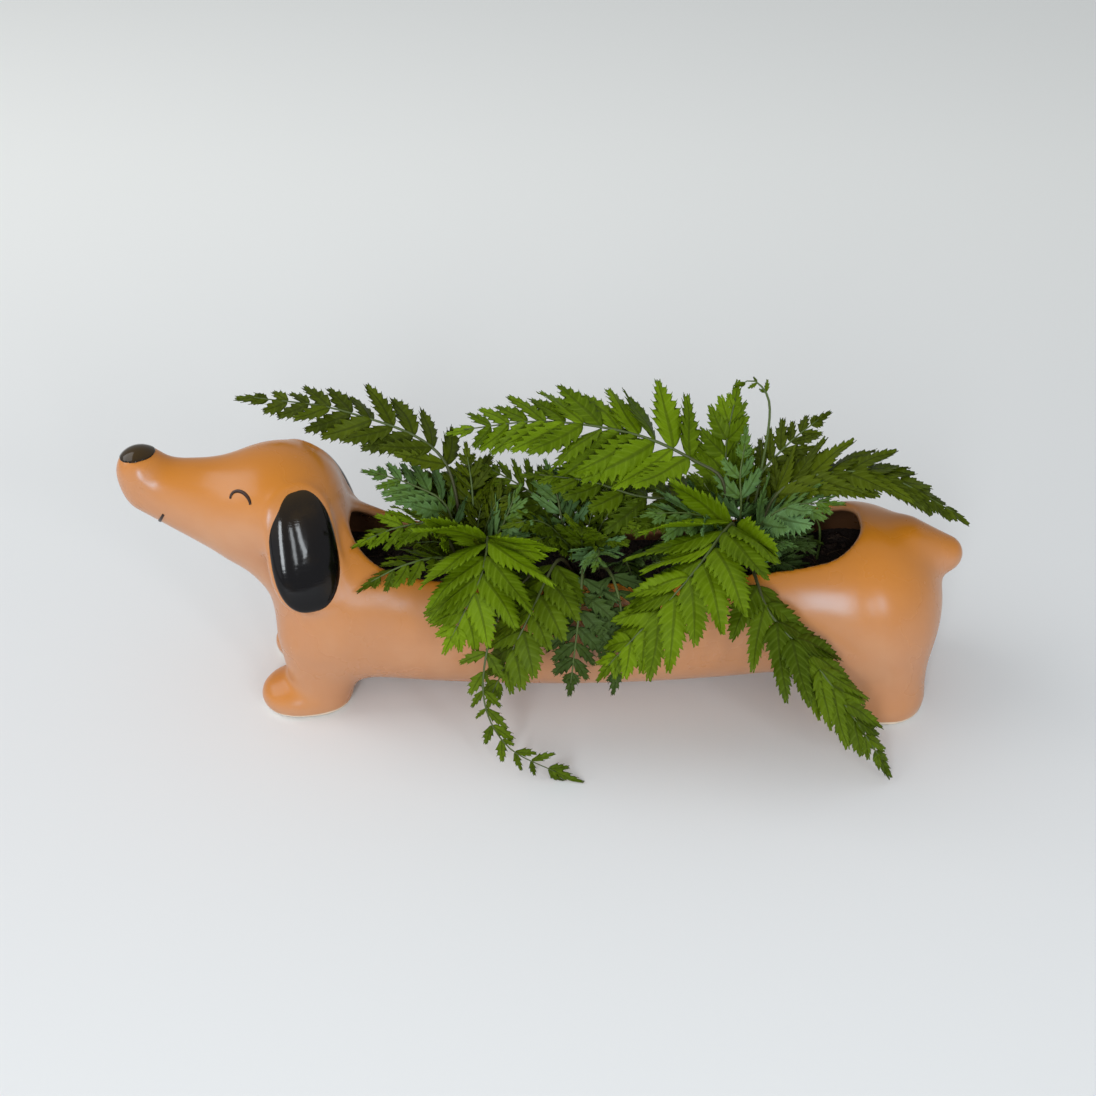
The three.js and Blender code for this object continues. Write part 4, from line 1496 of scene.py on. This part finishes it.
@dataclass(frozen=True)
class Leaflet:
    """One toothed or lobed leaflet, in its own plane."""

    length: float
    half_width: float
    edge: Edge = Edge.SAWN
    root_width: float = 0.5
    shoulder: float = 0.26
    pointing: float = 0.66
    sweep: float = 0.75
    lobe_reach: float = 0.5
    hook: float = 0.1
    droop: float = 0.14
    fold: float = 0.18
    ripple: float = 0.4
    wave: float = 0.02
    thickness: float = 0.28
    least_lobes: int = 3

    @property
    def lobes(self) -> int:
        """How many teeth or lobes it has on each side."""
        return max(self.least_lobes, round(self.length / self.edge.lobe_length))

    def outline(self) -> tuple[Array, Array, Array]:
        """The share of length, the width out to the edge and the vein's strength, row by row.

        Returns:
            The three, each a column of numbers.
        """
        rows = [
            ((n + along) / self.lobes, out, vein)
            for n in range(self.lobes)
            for along, out, vein in self.edge.value
        ]
        rows.append((0.995, 1.0, 0.5))
        share, cut, vein = (np.array(column)[:, None] for column in zip(*rows))
        return share, cut, vein

    def build(
        self, root: Array, way: Array, side: Array, up: Array, tone: float
    ) -> tuple[Part, Array]:
        """Builds the leaflet as a thin closed solid.

        Args:
            root: where it starts.
            way: the direction of its rib.
            side: the direction across it, towards the tip of the frond.
            up: roughly where its upper face looks.
            tone: how light it is, from 0 to 1.

        Returns:
            Its points and faces, and the marks of its points.
        """
        normal = np.cross(way, side)
        mirrored = normal @ up < 0
        normal = -normal if mirrored else normal
        share, cut, vein = self.outline()
        shoulder = self.root_width + (1 - self.root_width) * np.minimum(1, share / self.shoulder)
        width = self.half_width * np.maximum((1 - share) ** self.pointing * shoulder, 0.02)
        edge = np.abs(ACROSS)[None, :]
        spread = width * (1 - (1 - cut) * edge**2)
        tooth = self.lobe_reach * self.length / self.lobes * vein * edge**3
        forward = share * self.length + self.sweep * width * edge + tooth
        sideways = spread * ACROSS + self.hook * self.length * share**2
        lift = -self.droop * self.length * share**2 - self.fold * spread * edge
        lift = lift + self.ripple * (vein - 0.5) * np.sin(edge * math.pi) * (1 - share)
        lift = lift + self.wave * self.length * np.sin(7 * share + 9 * tone + 2 * ACROSS)
        offsets = np.stack([forward, sideways, lift], -1).reshape(-1, 3)
        upper = root + offsets @ np.stack([way, side, normal])
        points = np.concatenate([upper, upper - self.thickness * normal])
        marks = [np.broadcast_to(mark, spread.shape).ravel() for mark in (vein, edge, tone)]
        faces = closed_sheet(len(share), len(ACROSS))
        if mirrored:
            faces = [face[::-1] for face in faces]
        return (points, faces), np.tile(np.stack(marks, -1), (2, 1))


@dataclass(frozen=True)
class Frond:
    """A frond on its own stalk: where it leaves its crown, its midrib's places and its leaflets.

    A place is (along the dog from the crown, across the dog, above the rim).
    """

    name: str
    crown: float
    base: Pair
    half_width: float
    pairs: int
    bare: float
    roll: float
    places: tuple[Point, ...]
    look: Look = Look.SUNLIT
    habit: Habit = Habit.BLADE
    stalk_radius: float = 1.0
    edge: Edge = Edge.CUT
    lean: float = 0.5
    density: float = 1.2
    fullness: float = 1.15
    bareness: float = 0.75
    unrest: float = 0.16
    floor_reach: float = 30
    tip_length: float = 1.2
    foot_height: float = 4.2
    stalk_end: float = 0.985
    stalk_taper: tuple = (1.25, 1.0, 0.75, 0.28)
    stalk_step: float = 4
    least_rings: int = 18

    def slot(self) -> Slot:
        """The record's slot for its colour."""
        return Slot.LEAF_BLUE_GREEN if self.look.bluish else Slot.LEAF_GREEN

    def midrib(self, form: DogForm) -> Midrib:
        """The line of the stalk and the midrib.

        Args:
            form: the dog that it grows from.

        Returns:
            The line.
        """
        start = (self.crown + self.base[0], self.base[1], form.soil_top + self.foot_height)
        places = [(self.crown + x, y, form.rim_height + z) for x, y, z in self.places]
        return Midrib(np.array([start, *places], float))

    def side_at(self, midrib: Midrib, share: float) -> Array:
        """The direction across the blade, level but for the frond's roll.

        Args:
            midrib: the line of the stalk and the midrib.
            share: the share of its length.

        Returns:
            The direction, of unit length.
        """
        level = np.cross(midrib.at(1.0) - midrib.at(0.0), UP)
        tangent = midrib.along(share)
        side = square_to(tangent, level)
        roll = self.roll if level[1] > 0 else -self.roll
        return side * math.cos(roll) + np.cross(tangent, side) * math.sin(roll)

    def frame_at(self, midrib: Midrib, share: float) -> tuple[Array, Array, Array]:
        """The directions along the midrib, across the blade and out of its upper face."""
        tangent, across = midrib.along(share), self.side_at(midrib, share)
        return tangent, across, np.cross(across, tangent)

    def build(self, form: DogForm, seed: int, facets: Facets) -> None:
        """Adds the stalk and the leaflets.

        Args:
            form: the dog that it grows from.
            seed: the seed of its random draws.
            facets: what it is added to.
        """
        draw = np.random.default_rng(seed)
        midrib = self.midrib(form)
        rings = max(self.least_rings, int(midrib.length / self.stalk_step))
        shares = np.linspace(0, self.stalk_end, rings)
        radii = np.interp(shares, [0, 0.1, self.bare, 1], self.stalk_taper)
        points, faces = tube(midrib.at(shares), self.stalk_radius * radii)
        marks = np.full((len(points), 3), draw.uniform())
        marks[:, 0] = for_tube(shares, TUBE_SIDES)
        facets.add((points, faces), marks, 1)
        add = self.add_blade if self.habit is Habit.BLADE else self.add_sprig
        add(facets, midrib, draw)

    def add_blade(self, facets: Facets, midrib: Midrib, draw: Draw) -> None:
        """Adds the leaflets of a broad blade, which overlap at their feet and part at their tips.

        Args:
            facets: what they are added to.
            midrib: the line that they grow from.
            draw: the source of random numbers.
        """
        bare = self.bare * self.bareness
        span = 1 - bare
        count = round(self.pairs * self.density * span / (1 - self.bare))
        spacing = span * midrib.length / count
        root_width = 1 if self.edge is Edge.SAWN else 0.6
        for n in range(count):
            place = (n + 0.2) / count
            share = bare + span * place
            reach = self.fullness * self.half_width * (1 - place) ** 0.75
            reach *= 0.78 + 0.22 * min(1, place / 0.2)
            tangent, across, normal = self.frame_at(midrib, share)
            for sign in (1, -1):
                out = reach * draw.uniform(0.86, 1.1)
                ahead = (self.lean + 0.8 * place) * out * draw.uniform(0.85, 1.15)
                way = sign * across * out + tangent * ahead
                way = way - normal * out * draw.normal(0.1, self.unrest)
                length = float(np.linalg.norm(way))
                way = unit(way)
                side = square_to(way, tangent)
                tilt = draw.normal(0.15, self.unrest)
                side = side * math.cos(tilt) + normal * math.sin(tilt)
                half = self.leaflet_width(spacing * out / length, length)
                half *= draw.uniform(0.92, 1.12)
                droop, fold = draw.uniform(0.0, 0.2), draw.uniform(-0.1, 0.3)
                leaflet = Leaflet(length, half, self.edge, root_width, droop=droop, fold=fold)
                tone = self.tone(place, draw)
                facets.add(*leaflet.build(midrib.at(share), way, side, normal, tone))
        tip = bare + span * (count - 0.9) / count
        tangent, across, normal = self.frame_at(midrib, tip)
        length = (1 - tip) * midrib.length * 1.2 + 5
        leaflet = Leaflet(length, 0.3 * length, self.edge, 1, hook=0)
        tone = self.tone(1, draw)
        facets.add(*leaflet.build(midrib.at(tip), tangent, -across, normal, tone))

    def leaflet_width(self, room: float, length: float) -> float:
        """Half a leaflet's width, from the room that it has; joined leaflets meet at their feet.

        Args:
            room: half the room between leaflets.
            length: the leaflet's length.

        Returns:
            Half the width.
        """
        if self.edge is Edge.SAWN:
            return min(max(1.25 * room, 0.18 * length), 0.38 * length)
        return min(max(0.95 * room, 0.3 * length), 0.42 * length)

    def tone(self, place: float, draw: Draw) -> float:
        """How light a leaflet is; on blue-green fronds those near the foot are the bluest.

        Args:
            place: the leaflet's place, from 0 at the foot to 1 at the tip.
            draw: the source of random numbers.

        Returns:
            The tone, from 0 to 1.
        """
        if self.look.bluish:
            return float(np.clip(draw.normal(0.8 - 0.5 * place, 0.2), 0, 1))
        return draw.uniform()

    def add_sprig(self, facets: Facets, midrib: Midrib, draw: Draw) -> None:
        """Adds small uneven leaflets, apart on the stalk, and a longer one at its tip.

        Args:
            facets: what they are added to.
            midrib: the line that they grow from.
            draw: the source of random numbers.
        """
        span = 1 - self.bare
        for n in range(self.pairs):
            share = self.bare + span * (n + 0.3) / self.pairs
            tangent, across, normal = self.frame_at(midrib, share)
            root = midrib.at(share)
            sinking = draw.uniform(-0.2, 0.4) * min(1, root[2] / self.floor_reach)
            for sign in (1, -1):
                length = self.half_width * draw.uniform(0.6, 1.6)
                way = unit(sign * across + tangent * draw.uniform(0.4, 1.8) - UP * sinking)
                half = length * draw.uniform(0.26, 0.42)
                leaflet = Leaflet(length, half, self.edge, droop=draw.uniform(0, 0.2))
                side = square_to(way, tangent)
                facets.add(*leaflet.build(root, way, side, normal, draw.uniform()))
        tangent, across = midrib.along(0.99), self.side_at(midrib, 0.98)
        normal = np.cross(across, tangent)
        length = self.half_width * self.tip_length
        leaflet = Leaflet(length, 0.24 * length, self.edge, 0.8, hook=0.05, droop=0)
        facets.add(*leaflet.build(midrib.at(0.96), tangent, -across, normal, draw.uniform()))


FRONT, MIDDLE, REAR = -38.0, 16.0, 92.0
FLANK = 40.0

FRONDS = (
    Frond("frond_front_long_left", FRONT, (-5, 3), 21, 7, 0.42, -0.35,
          ((-16, 18, 45), (-63, 32, 62), (-112, 42, 65)), Look.DEEP, lean=0.7),
    Frond("frond_front_blue", FRONT, (-7, 0), 20, 5, 0.4, -0.3,
          ((-14, 4, 26), (-29, 8, 34), (-48, 12, 39)), Look.BLUE),
    Frond("frond_front_low_left", FRONT, (-6, -3), 18, 5, 0.4, -0.2,
          ((-17, -8, 21), (-34, -14, 24), (-51, -21, 21)), Look.SUNLIT),
    Frond("frond_front_lobe", FRONT, (-3, -6), 16, 4, 0.45, 0,
          ((-14, -20, 10), (-32, -31, 13), (-48, -38, 8)), Look.MIDDLE),
    Frond("frond_front_broad", FRONT, (3, -6), 36, 6, 0.3, 0,
          ((8, -20, 22), (6, -FLANK - 6, 18), (-9, -FLANK - 20, -10)),
          Look.SUNLIT, edge=Edge.SAWN, unrest=0.07),
    Frond("frond_front_over_back", FRONT, (-1, 7), 26, 6, 0.35, 0,
          ((-8, 22, 24), (-14, FLANK + 4, 20), (-22, FLANK + 22, -12)), Look.DEEP),
    Frond("frond_front_low_back", FRONT, (5, 5), 18, 5, 0.4, 0,
          ((13, 16, 8), (20, FLANK, 10), (24, FLANK + 12, -14)), Look.SHADE),
    Frond("frond_front_top", FRONT, (6, 0), 18, 5, 0.35, -0.3,
          ((9, -5, 7), (15, -3, 18), (21, 2, 32)), Look.BLUE),
    Frond("frond_front_dark", FRONT, (2, 4), 17, 4, 0.45, -0.3,
          ((0, 10, 15), (-1, 16, 30), (-3, 22, 43)), Look.DEEP),
    Frond("frond_middle_down_left", MIDDLE, (-4, -5), 23, 6, 0.38, 0,
          ((-12, -22, 10), (-26, -FLANK - 12, -2), (-44, -FLANK - 26, -38)),
          Look.MIDDLE, edge=Edge.SAWN, unrest=0.1),
    Frond("frond_middle_trailing", MIDDLE, (-7, -3), 9, 9, 0.5, 0,
          ((-24, -30, 8), (-42, -FLANK - 16, -4), (-47, -FLANK - 34, -34), (-36, -FLANK - 40, -58),
           (-11, -FLANK - 44, -72)), Look.MIDDLE, Habit.SPRIG, 0.75, tip_length=2),
    Frond("frond_middle_dark_left", MIDDLE, (-1, -6), 20, 5, 0.45, 0,
          ((0, -24, 6), (-2, -FLANK - 4, -4), (-6, -FLANK - 14, -42)), Look.SHADE),
    Frond("frond_middle_dark_right", MIDDLE, (3, -5), 17, 5, 0.45, 0,
          ((12, -24, 6), (18, -FLANK - 4, -4), (16, -FLANK - 13, -42)), Look.SHADE),
    Frond("frond_middle_up_left", MIDDLE, (-6, 2), 20, 5, 0.4, -0.3,
          ((-11, 10, 12), (-26, 18, 24), (-46, 26, 33)), Look.MIDDLE),
    Frond("frond_middle_up_centre", MIDDLE, (-2, 6), 18, 4, 0.45, -0.3,
          ((-10, 6, 15), (-12, 12, 24), (-16, 18, 36)), Look.BLUE),
    Frond("frond_middle_up_right", MIDDLE, (6, 4), 19, 5, 0.45, -0.3,
          ((11, 16, 12), (16, 32, 26), (24, 42, 46)), Look.MIDDLE),
    Frond("frond_middle_small_right", MIDDLE, (6, -1), 16, 4, 0.35, -0.2,
          ((6, -8, 8), (8, -18, 12), (6, -28, 13)), Look.BLUE),
    Frond("frond_middle_over_back", MIDDLE, (1, 8), 24, 6, 0.35, 0,
          ((2, 24, 12), (4, FLANK + 6, 8), (8, FLANK + 20, -28)), Look.DEEP),
    Frond("frond_rear_big_left", REAR, (-4, -5), 34, 8, 0.3, 0.1,
          ((-5, -20, 30), (-28, -FLANK - 14, 22), (-66, -FLANK - 28, -20)),
          Look.SUNLIT, edge=Edge.SAWN, fullness=1.3, unrest=0.07),
    Frond("frond_rear_hanging", REAR, (4, -6), 22, 8, 0.35, 0,
          ((5, -30, 10), (11, -50, 0), (34, -66, -21), (68, -84, -66)),
          Look.MIDDLE, edge=Edge.SAWN, lean=1.1, unrest=0.07),
    Frond("frond_rear_long_right", REAR, (7, 0), 18, 8, 0.4, -0.3,
          ((22, 2, 36), (63, 0, 46), (107, -6, 26)),
          Look.DEEP, edge=Edge.SAWN, lean=1.0, fullness=1.3, unrest=0.07),
    Frond("frond_rear_up_left", REAR, (-4, 4), 21, 5, 0.45, -0.4,
          ((-3, 14, 28), (-4, 28, 44), (1, 42, 66)),
          Look.SUNLIT, edge=Edge.SAWN, lean=0.7, unrest=0.14),
    Frond("frond_rear_up_middle", REAR, (1, 7), 18, 5, 0.5, -0.4,
          ((10, 20, 26), (28, 32, 44), (44, 40, 54)), Look.DEEP),
    Frond("frond_rear_up_right", REAR, (6, 3), 16, 5, 0.45, -0.3,
          ((20, 12, 26), (34, 20, 36), (49, 27, 42)), Look.DEEP),
    Frond("frond_rear_young", REAR, (4, 1), 5, 3, 0.82, 0,
          ((12, 14, 34), (14, 24, 74), (6, 27, 82), (-1, 28, 78)), Look.MIDDLE, Habit.SPRIG, 0.8),
    Frond("frond_rear_blue_left", REAR, (-7, -2), 19, 5, 0.35, -0.2,
          ((-13, -8, 23), (-25, -13, 31), (-42, -19, 35)), Look.BLUE, fullness=1.45),
    Frond("frond_rear_blue_right", REAR, (7, -3), 22, 5, 0.35, -0.2,
          ((10, -10, 22), (22, -15, 36), (40, -20, 42)), Look.BLUE, fullness=1.4),
    Frond("frond_rear_arching", REAR, (-7, 2), 33, 6, 0.48, -0.45,
          ((-8, 6, 39), (-20, 10, 46), (-47, 16, 57), (-94, 22, 62), (-137, 26, 55)),
          Look.SUNLIT, density=1.7, unrest=0.28),
    Frond("frond_rear_low_stalk", REAR, (-8, 0), 22, 5, 0.42, -0.3,
          ((-15, 6, 22), (-49, 8, 28), (-72, 10, 35), (-99, 12, 38)), Look.MIDDLE),
    Frond("frond_rear_over_back", REAR, (-1, 8), 26, 6, 0.35, 0,
          ((-6, 24, 16), (-12, FLANK + 8, 14), (-20, FLANK + 44, -34)), Look.DEEP),
    Frond("frond_rear_low_back", REAR, (6, 6), 20, 6, 0.35, 0,
          ((16, 20, 12), (28, FLANK + 4, 8), (44, FLANK + 20, -22)), Look.SHADE),
    Frond("frond_rear_small", REAR, (-2, 0), 11, 4, 0.5, -0.3,
          ((-7, -1, 16), (-11, -1, 29), (-18, -2, 42)), Look.MIDDLE),
    Frond("frond_rear_blue_up", REAR, (1, 0), 15, 4, 0.35, -0.4,
          ((2, 2, 26), (1, 7, 41), (3, 12, 56)), Look.BLUE),
)


SEEDLINGS = (
    Frond("seedling_rear", REAR, (12, -2), 16, 4, 0.4, -0.3,
          ((18, 1, -2), (26, 3, 7), (39, 2, 6)), Look.SHADE),
    Frond("seedling_rear_low", REAR, (12, -8), 13, 4, 0.4, 0,
          ((15, -10, -4), (22, -13, 2), (33, -17, -1)), Look.SHADE),
    Frond("seedling_middle", MIDDLE, (14, -4), 15, 4, 0.35, 0,
          ((17, -7, -3), (21, -13, 3), (24, -22, 1)), Look.SHADE),
    Frond("seedling_middle_right", MIDDLE, (20, 0), 12, 4, 0.4, 0,
          ((24, -2, -4), (31, -5, 3), (41, -7, 4)), Look.BLUE),
)
GRASS = ((137, 13, 61), (137.5, 13, 74), (136, 13.5, 84), (132, 14, 90))
CROWNS = {"front": (FRONT, Look.DEEP), "middle": (MIDDLE, Look.MIDDLE), "rear": (REAR, Look.BLUE)}


@dataclass(frozen=True)
class Ferns:
    """Three root crowns and their fronds."""

    form: DogForm = DogForm()
    crown_radius: float = 11
    crown_height: float = 5.4
    crown_rings: int = 9
    crown_sides: int = 28
    crown_top: float = 0.96
    crown_clearance: float = 0.3
    scales: int = 90
    scale_half_width: float = 0.7
    scale_length: Pair = (4, 8)
    scale_sink: float = 0.8
    crown_seed: int = 40
    young_seed: int = 60
    seedling_seed: int = 80
    young: int = 9
    young_reach: Pair = (18, 34)
    young_rise: Pair = (8, 26)
    young_half_width: Pair = (10, 14)
    young_foot: float = 6
    young_stalk: float = 0.6
    young_arch: tuple = ((0.35, 0.45), (0.75, 1.0), (1.15, 1.05))
    grass_points: int = 16
    grass_sides: int = 6
    grass_radii: Pair = (0.85, 0.45)

    def build(self) -> None:
        """Builds the crowns and the fronds."""
        brown = Earth("root_crown", paint(34, 22, 14), paint(92, 62, 36), 0.9).material()
        for seed, place in enumerate(CROWNS, self.crown_seed):
            self.build_crown(place, seed, brown)
        skins = {look: look.material() for look in Look}
        stalk = StalkSkin().material()
        for seed, frond in enumerate(FRONDS):
            facets = Facets()
            frond.build(self.form, seed, facets)
            facets.keep_off_floor()
            facets.piece(f"{frond.name}_leaf", frond.slot(), [skins[frond.look], stalk], frond.name)
        for seed, place in enumerate(CROWNS, self.young_seed):
            self.build_undergrowth(place, seed, [skins[CROWNS[place][1]], stalk])
        self.build_seedlings([skins[Look.SHADE], stalk])

    def build_undergrowth(self, place: str, seed: int, materials: list) -> None:
        """Builds the short young fronds that stand round a crown.

        Args:
            place: the crown's name.
            seed: the seed of its random draws.
            materials: the leaf's and the stalk's materials.
        """
        x, look = CROWNS[place]
        draw = np.random.default_rng(seed)
        facets = Facets()
        for number in range(self.young):
            angle = FULL_TURN * (number + draw.uniform(-0.3, 0.3)) / self.young
            out = np.array([math.cos(angle), 0.6 * math.sin(angle)])
            reach, rise = draw.uniform(*self.young_reach), draw.uniform(*self.young_rise)
            places = tuple((*(out * reach * far), rise * high) for far, high in self.young_arch)
            half, foot = draw.uniform(*self.young_half_width), tuple(out * self.young_foot)
            young = Frond(
                "young", x, foot, half, 4, 0.4, -0.3, places, look, stalk_radius=self.young_stalk
            )
            young.build(self.form, seed + number, facets)
        facets.piece(f"young_fronds_{place}", young.slot(), materials)

    def build_seedlings(self, materials: list) -> None:
        """Builds the small leaves between the crowns and a grass stem.

        Args:
            materials: the leaf's and the stalk's materials.
        """
        facets = Facets()
        for seed, seedling in enumerate(SEEDLINGS, self.seedling_seed):
            seedling.build(self.form, seed, facets)
        facets.piece("seedling_fronds", Slot.LEAF_BLUE_GREEN, materials)
        stem = Midrib(np.array(GRASS, float)).at(np.linspace(0, 1, self.grass_points))
        grass = tube(stem, np.linspace(*self.grass_radii, self.grass_points), self.grass_sides)
        marks = np.tile([1.0, 0.0, 0.0], (len(grass[0]), 1))
        Facets(grass, marks).piece("grass_stem", Slot.LEAF_GREEN, materials[1:])

    def build_crown(self, place: str, seed: int, material: Material) -> None:
        """Builds a root crown: a low mound under narrow brown scales.

        Args:
            place: the crown's name.
            seed: the seed of its random draws.
            material: its material.
        """
        x, _ = CROWNS[place]
        draw = np.random.default_rng(seed)
        count, sides = self.crown_rings, self.crown_sides
        lift, turn = ring_grid(np.linspace(0, self.crown_top, count), sides)
        reach = self.crown_radius * np.sqrt(1 - lift**2) * draw.uniform(0.94, 1.06, lift.shape)
        level = self.form.soil_top + self.crown_clearance
        height = level + lift * self.crown_height
        mound = np.stack([x + reach * np.cos(turn), reach * np.sin(turn), height], -1)
        faces = [*grid_faces(count, sides, True).tolist(), list(range(sides))[::-1]]
        faces.append(list(range((count - 1) * sides, count * sides)))
        facets = Facets((mound.reshape(-1, 3), faces))
        for _ in range(self.scales):
            angle, share = draw.uniform(0, FULL_TURN), math.sqrt(draw.uniform(0.04, 1))
            out = np.array([math.cos(angle), math.sin(angle), 0])
            rise = self.crown_height * math.sqrt(max(1 - share**2, 0)) - self.scale_sink
            foot = np.array([x, 0, level + rise]) + out * share * self.crown_radius * 0.95
            way = unit(out * draw.uniform(0.2, 1.2) * share + UP * draw.uniform(0.5, 1))
            scale = Leaflet(
                draw.uniform(*self.scale_length),
                self.scale_half_width,
                droop=0.2,
                wave=0.06,
                thickness=0.2,
                least_lobes=2,
            )
            facets.add(scale.build(foot, way, unit(np.cross(way, out)), out, draw.uniform())[0])
        facets.piece(f"root_crown_{place}", Slot.ROOT, [material], f"fern_crown_{place}")


# The studio


@dataclass(frozen=True)
class Lamp:
    """A soft oblong lamp, its sizes in metres."""

    name: str
    place: Point
    aim: Point
    size: Pair
    power: float
    colour: Point = (1, 1, 1)

    def build(self) -> None:
        """Hangs the lamp."""
        light = bpy.data.lights.new(self.name, "AREA")
        light.shape = "RECTANGLE"
        light.size, light.size_y = self.size
        light.energy = self.power
        light.color = self.colour
        made = put(self.name, light)
        made.location = self.place
        look_at(made, self.aim)


def look_at(made: bpy.types.Object, aim: Point) -> None:
    """Turns a lamp or the camera towards a place."""
    way = Vector(aim) - made.location
    made.rotation_euler = way.to_track_quat("-Z", "Y").to_euler()


MIDDLE_OF_DOG = (0.0, 0.0, 0.07)
WINDOW = (0.9, 0.96, 1.0)
SQUARE = ((-1, -1), (1, -1), (1, 1), (-1, 1))


@dataclass(frozen=True)
class Studio:
    """A plain pale floor, soft light and the camera, their sizes in metres."""

    camera: Point = (-0.0009, -0.5803, 0.4700)
    aim: Point = (-0.0009, 0, 0.0786)
    lens: float = 45.99
    floor: Colour = paint(226, 226, 226)
    # Paler far floor: painted light that brightens the floor behind the dog.
    far_floor: Colour = paint(248, 248, 245)
    floor_half: float = 6.0
    floor_roughness: float = 0.7
    floor_gap: float = 0.0002
    room: Colour = (0.93, 0.97, 1.0, 1)
    room_strength: float = 0.5
    nearest: float = 0.01
    sensor: float = 36

    def build(self) -> None:
        """Builds the studio."""
        self.build_floor()
        self.build_world()
        for lamp in (
            Lamp("left_window", (-0.28, -1.39, 0.66), MIDDLE_OF_DOG, (0.24, 0.6), 9, WINDOW),
            Lamp("middle_window", (0.44, -1.38, 0.67), MIDDLE_OF_DOG, (0.14, 0.42), 2.2, WINDOW),
            Lamp("right_window", (0.76, -1.2, 0.67), MIDDLE_OF_DOG, (0.16, 0.42), 3.2, WINDOW),
            Lamp("front_fill", (-1.7, -1.9, 1.2), MIDDLE_OF_DOG, (2.2, 2.2), 7, (0.92, 0.96, 1)),
            Lamp("left_sky", (-1.9, 0.2, 1.7), MIDDLE_OF_DOG, (1.8, 1.8), 25),
        ):
            lamp.build()
        self.build_camera()
        bpy.context.scene.view_settings.view_transform = "Standard"

    def build_floor(self) -> None:
        """Lays the floor, which gets paler towards the back as painted light."""
        mesh = bpy.data.meshes.new("floor")
        square = [(x * self.floor_half, y * self.floor_half, 0) for x, y in SQUARE]
        mesh.from_pydata(square, [], [(0, 1, 2, 3)])
        graph = Graph("pale_floor")
        # Paler towards the back: painted light.
        back = graph.split(graph.place())[1].step(-0.1, 0.9)
        colour = graph.mix(back, self.floor, self.far_floor)
        mesh.materials.append(graph.surface(colour, self.floor_roughness, None, 0.2))
        made = put("floor", mesh)
        made.location.z = -self.floor_gap
        made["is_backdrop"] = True

    def build_world(self) -> None:
        """Lights the room evenly."""
        world = bpy.data.worlds.new("soft_room")
        bpy.context.scene.world = world
        world.use_nodes = True
        background = world.node_tree.nodes["Background"]
        background.inputs["Color"].default_value = self.room
        background.inputs["Strength"].default_value = self.room_strength

    def build_camera(self) -> None:
        """Sets the camera at the photograph's angle."""
        lens = bpy.data.cameras.new("camera")
        lens.lens = self.lens
        lens.sensor_width = self.sensor
        lens.clip_start = self.nearest
        made = put("camera", lens)
        made.location = self.camera
        look_at(made, self.aim)
        bpy.context.scene.camera = made


def corners(box: tuple) -> list[list[float]]:
    """A box's two corners as plain lists."""
    return [[round(float(c), 5) for c in corner] for corner in box]


def main() -> None:
    """Builds the pot, its planting and the studio."""
    logging.basicConfig(level=logging.INFO, format="%(message)s")
    form = DogForm()
    Pot(form).build()
    SoilBed(form).build()
    Ferns(form).build()
    Studio().build()
    {"cad": corners(CAD_BOX), "visual": corners(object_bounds())}


if __name__ == "__main__":
    main()
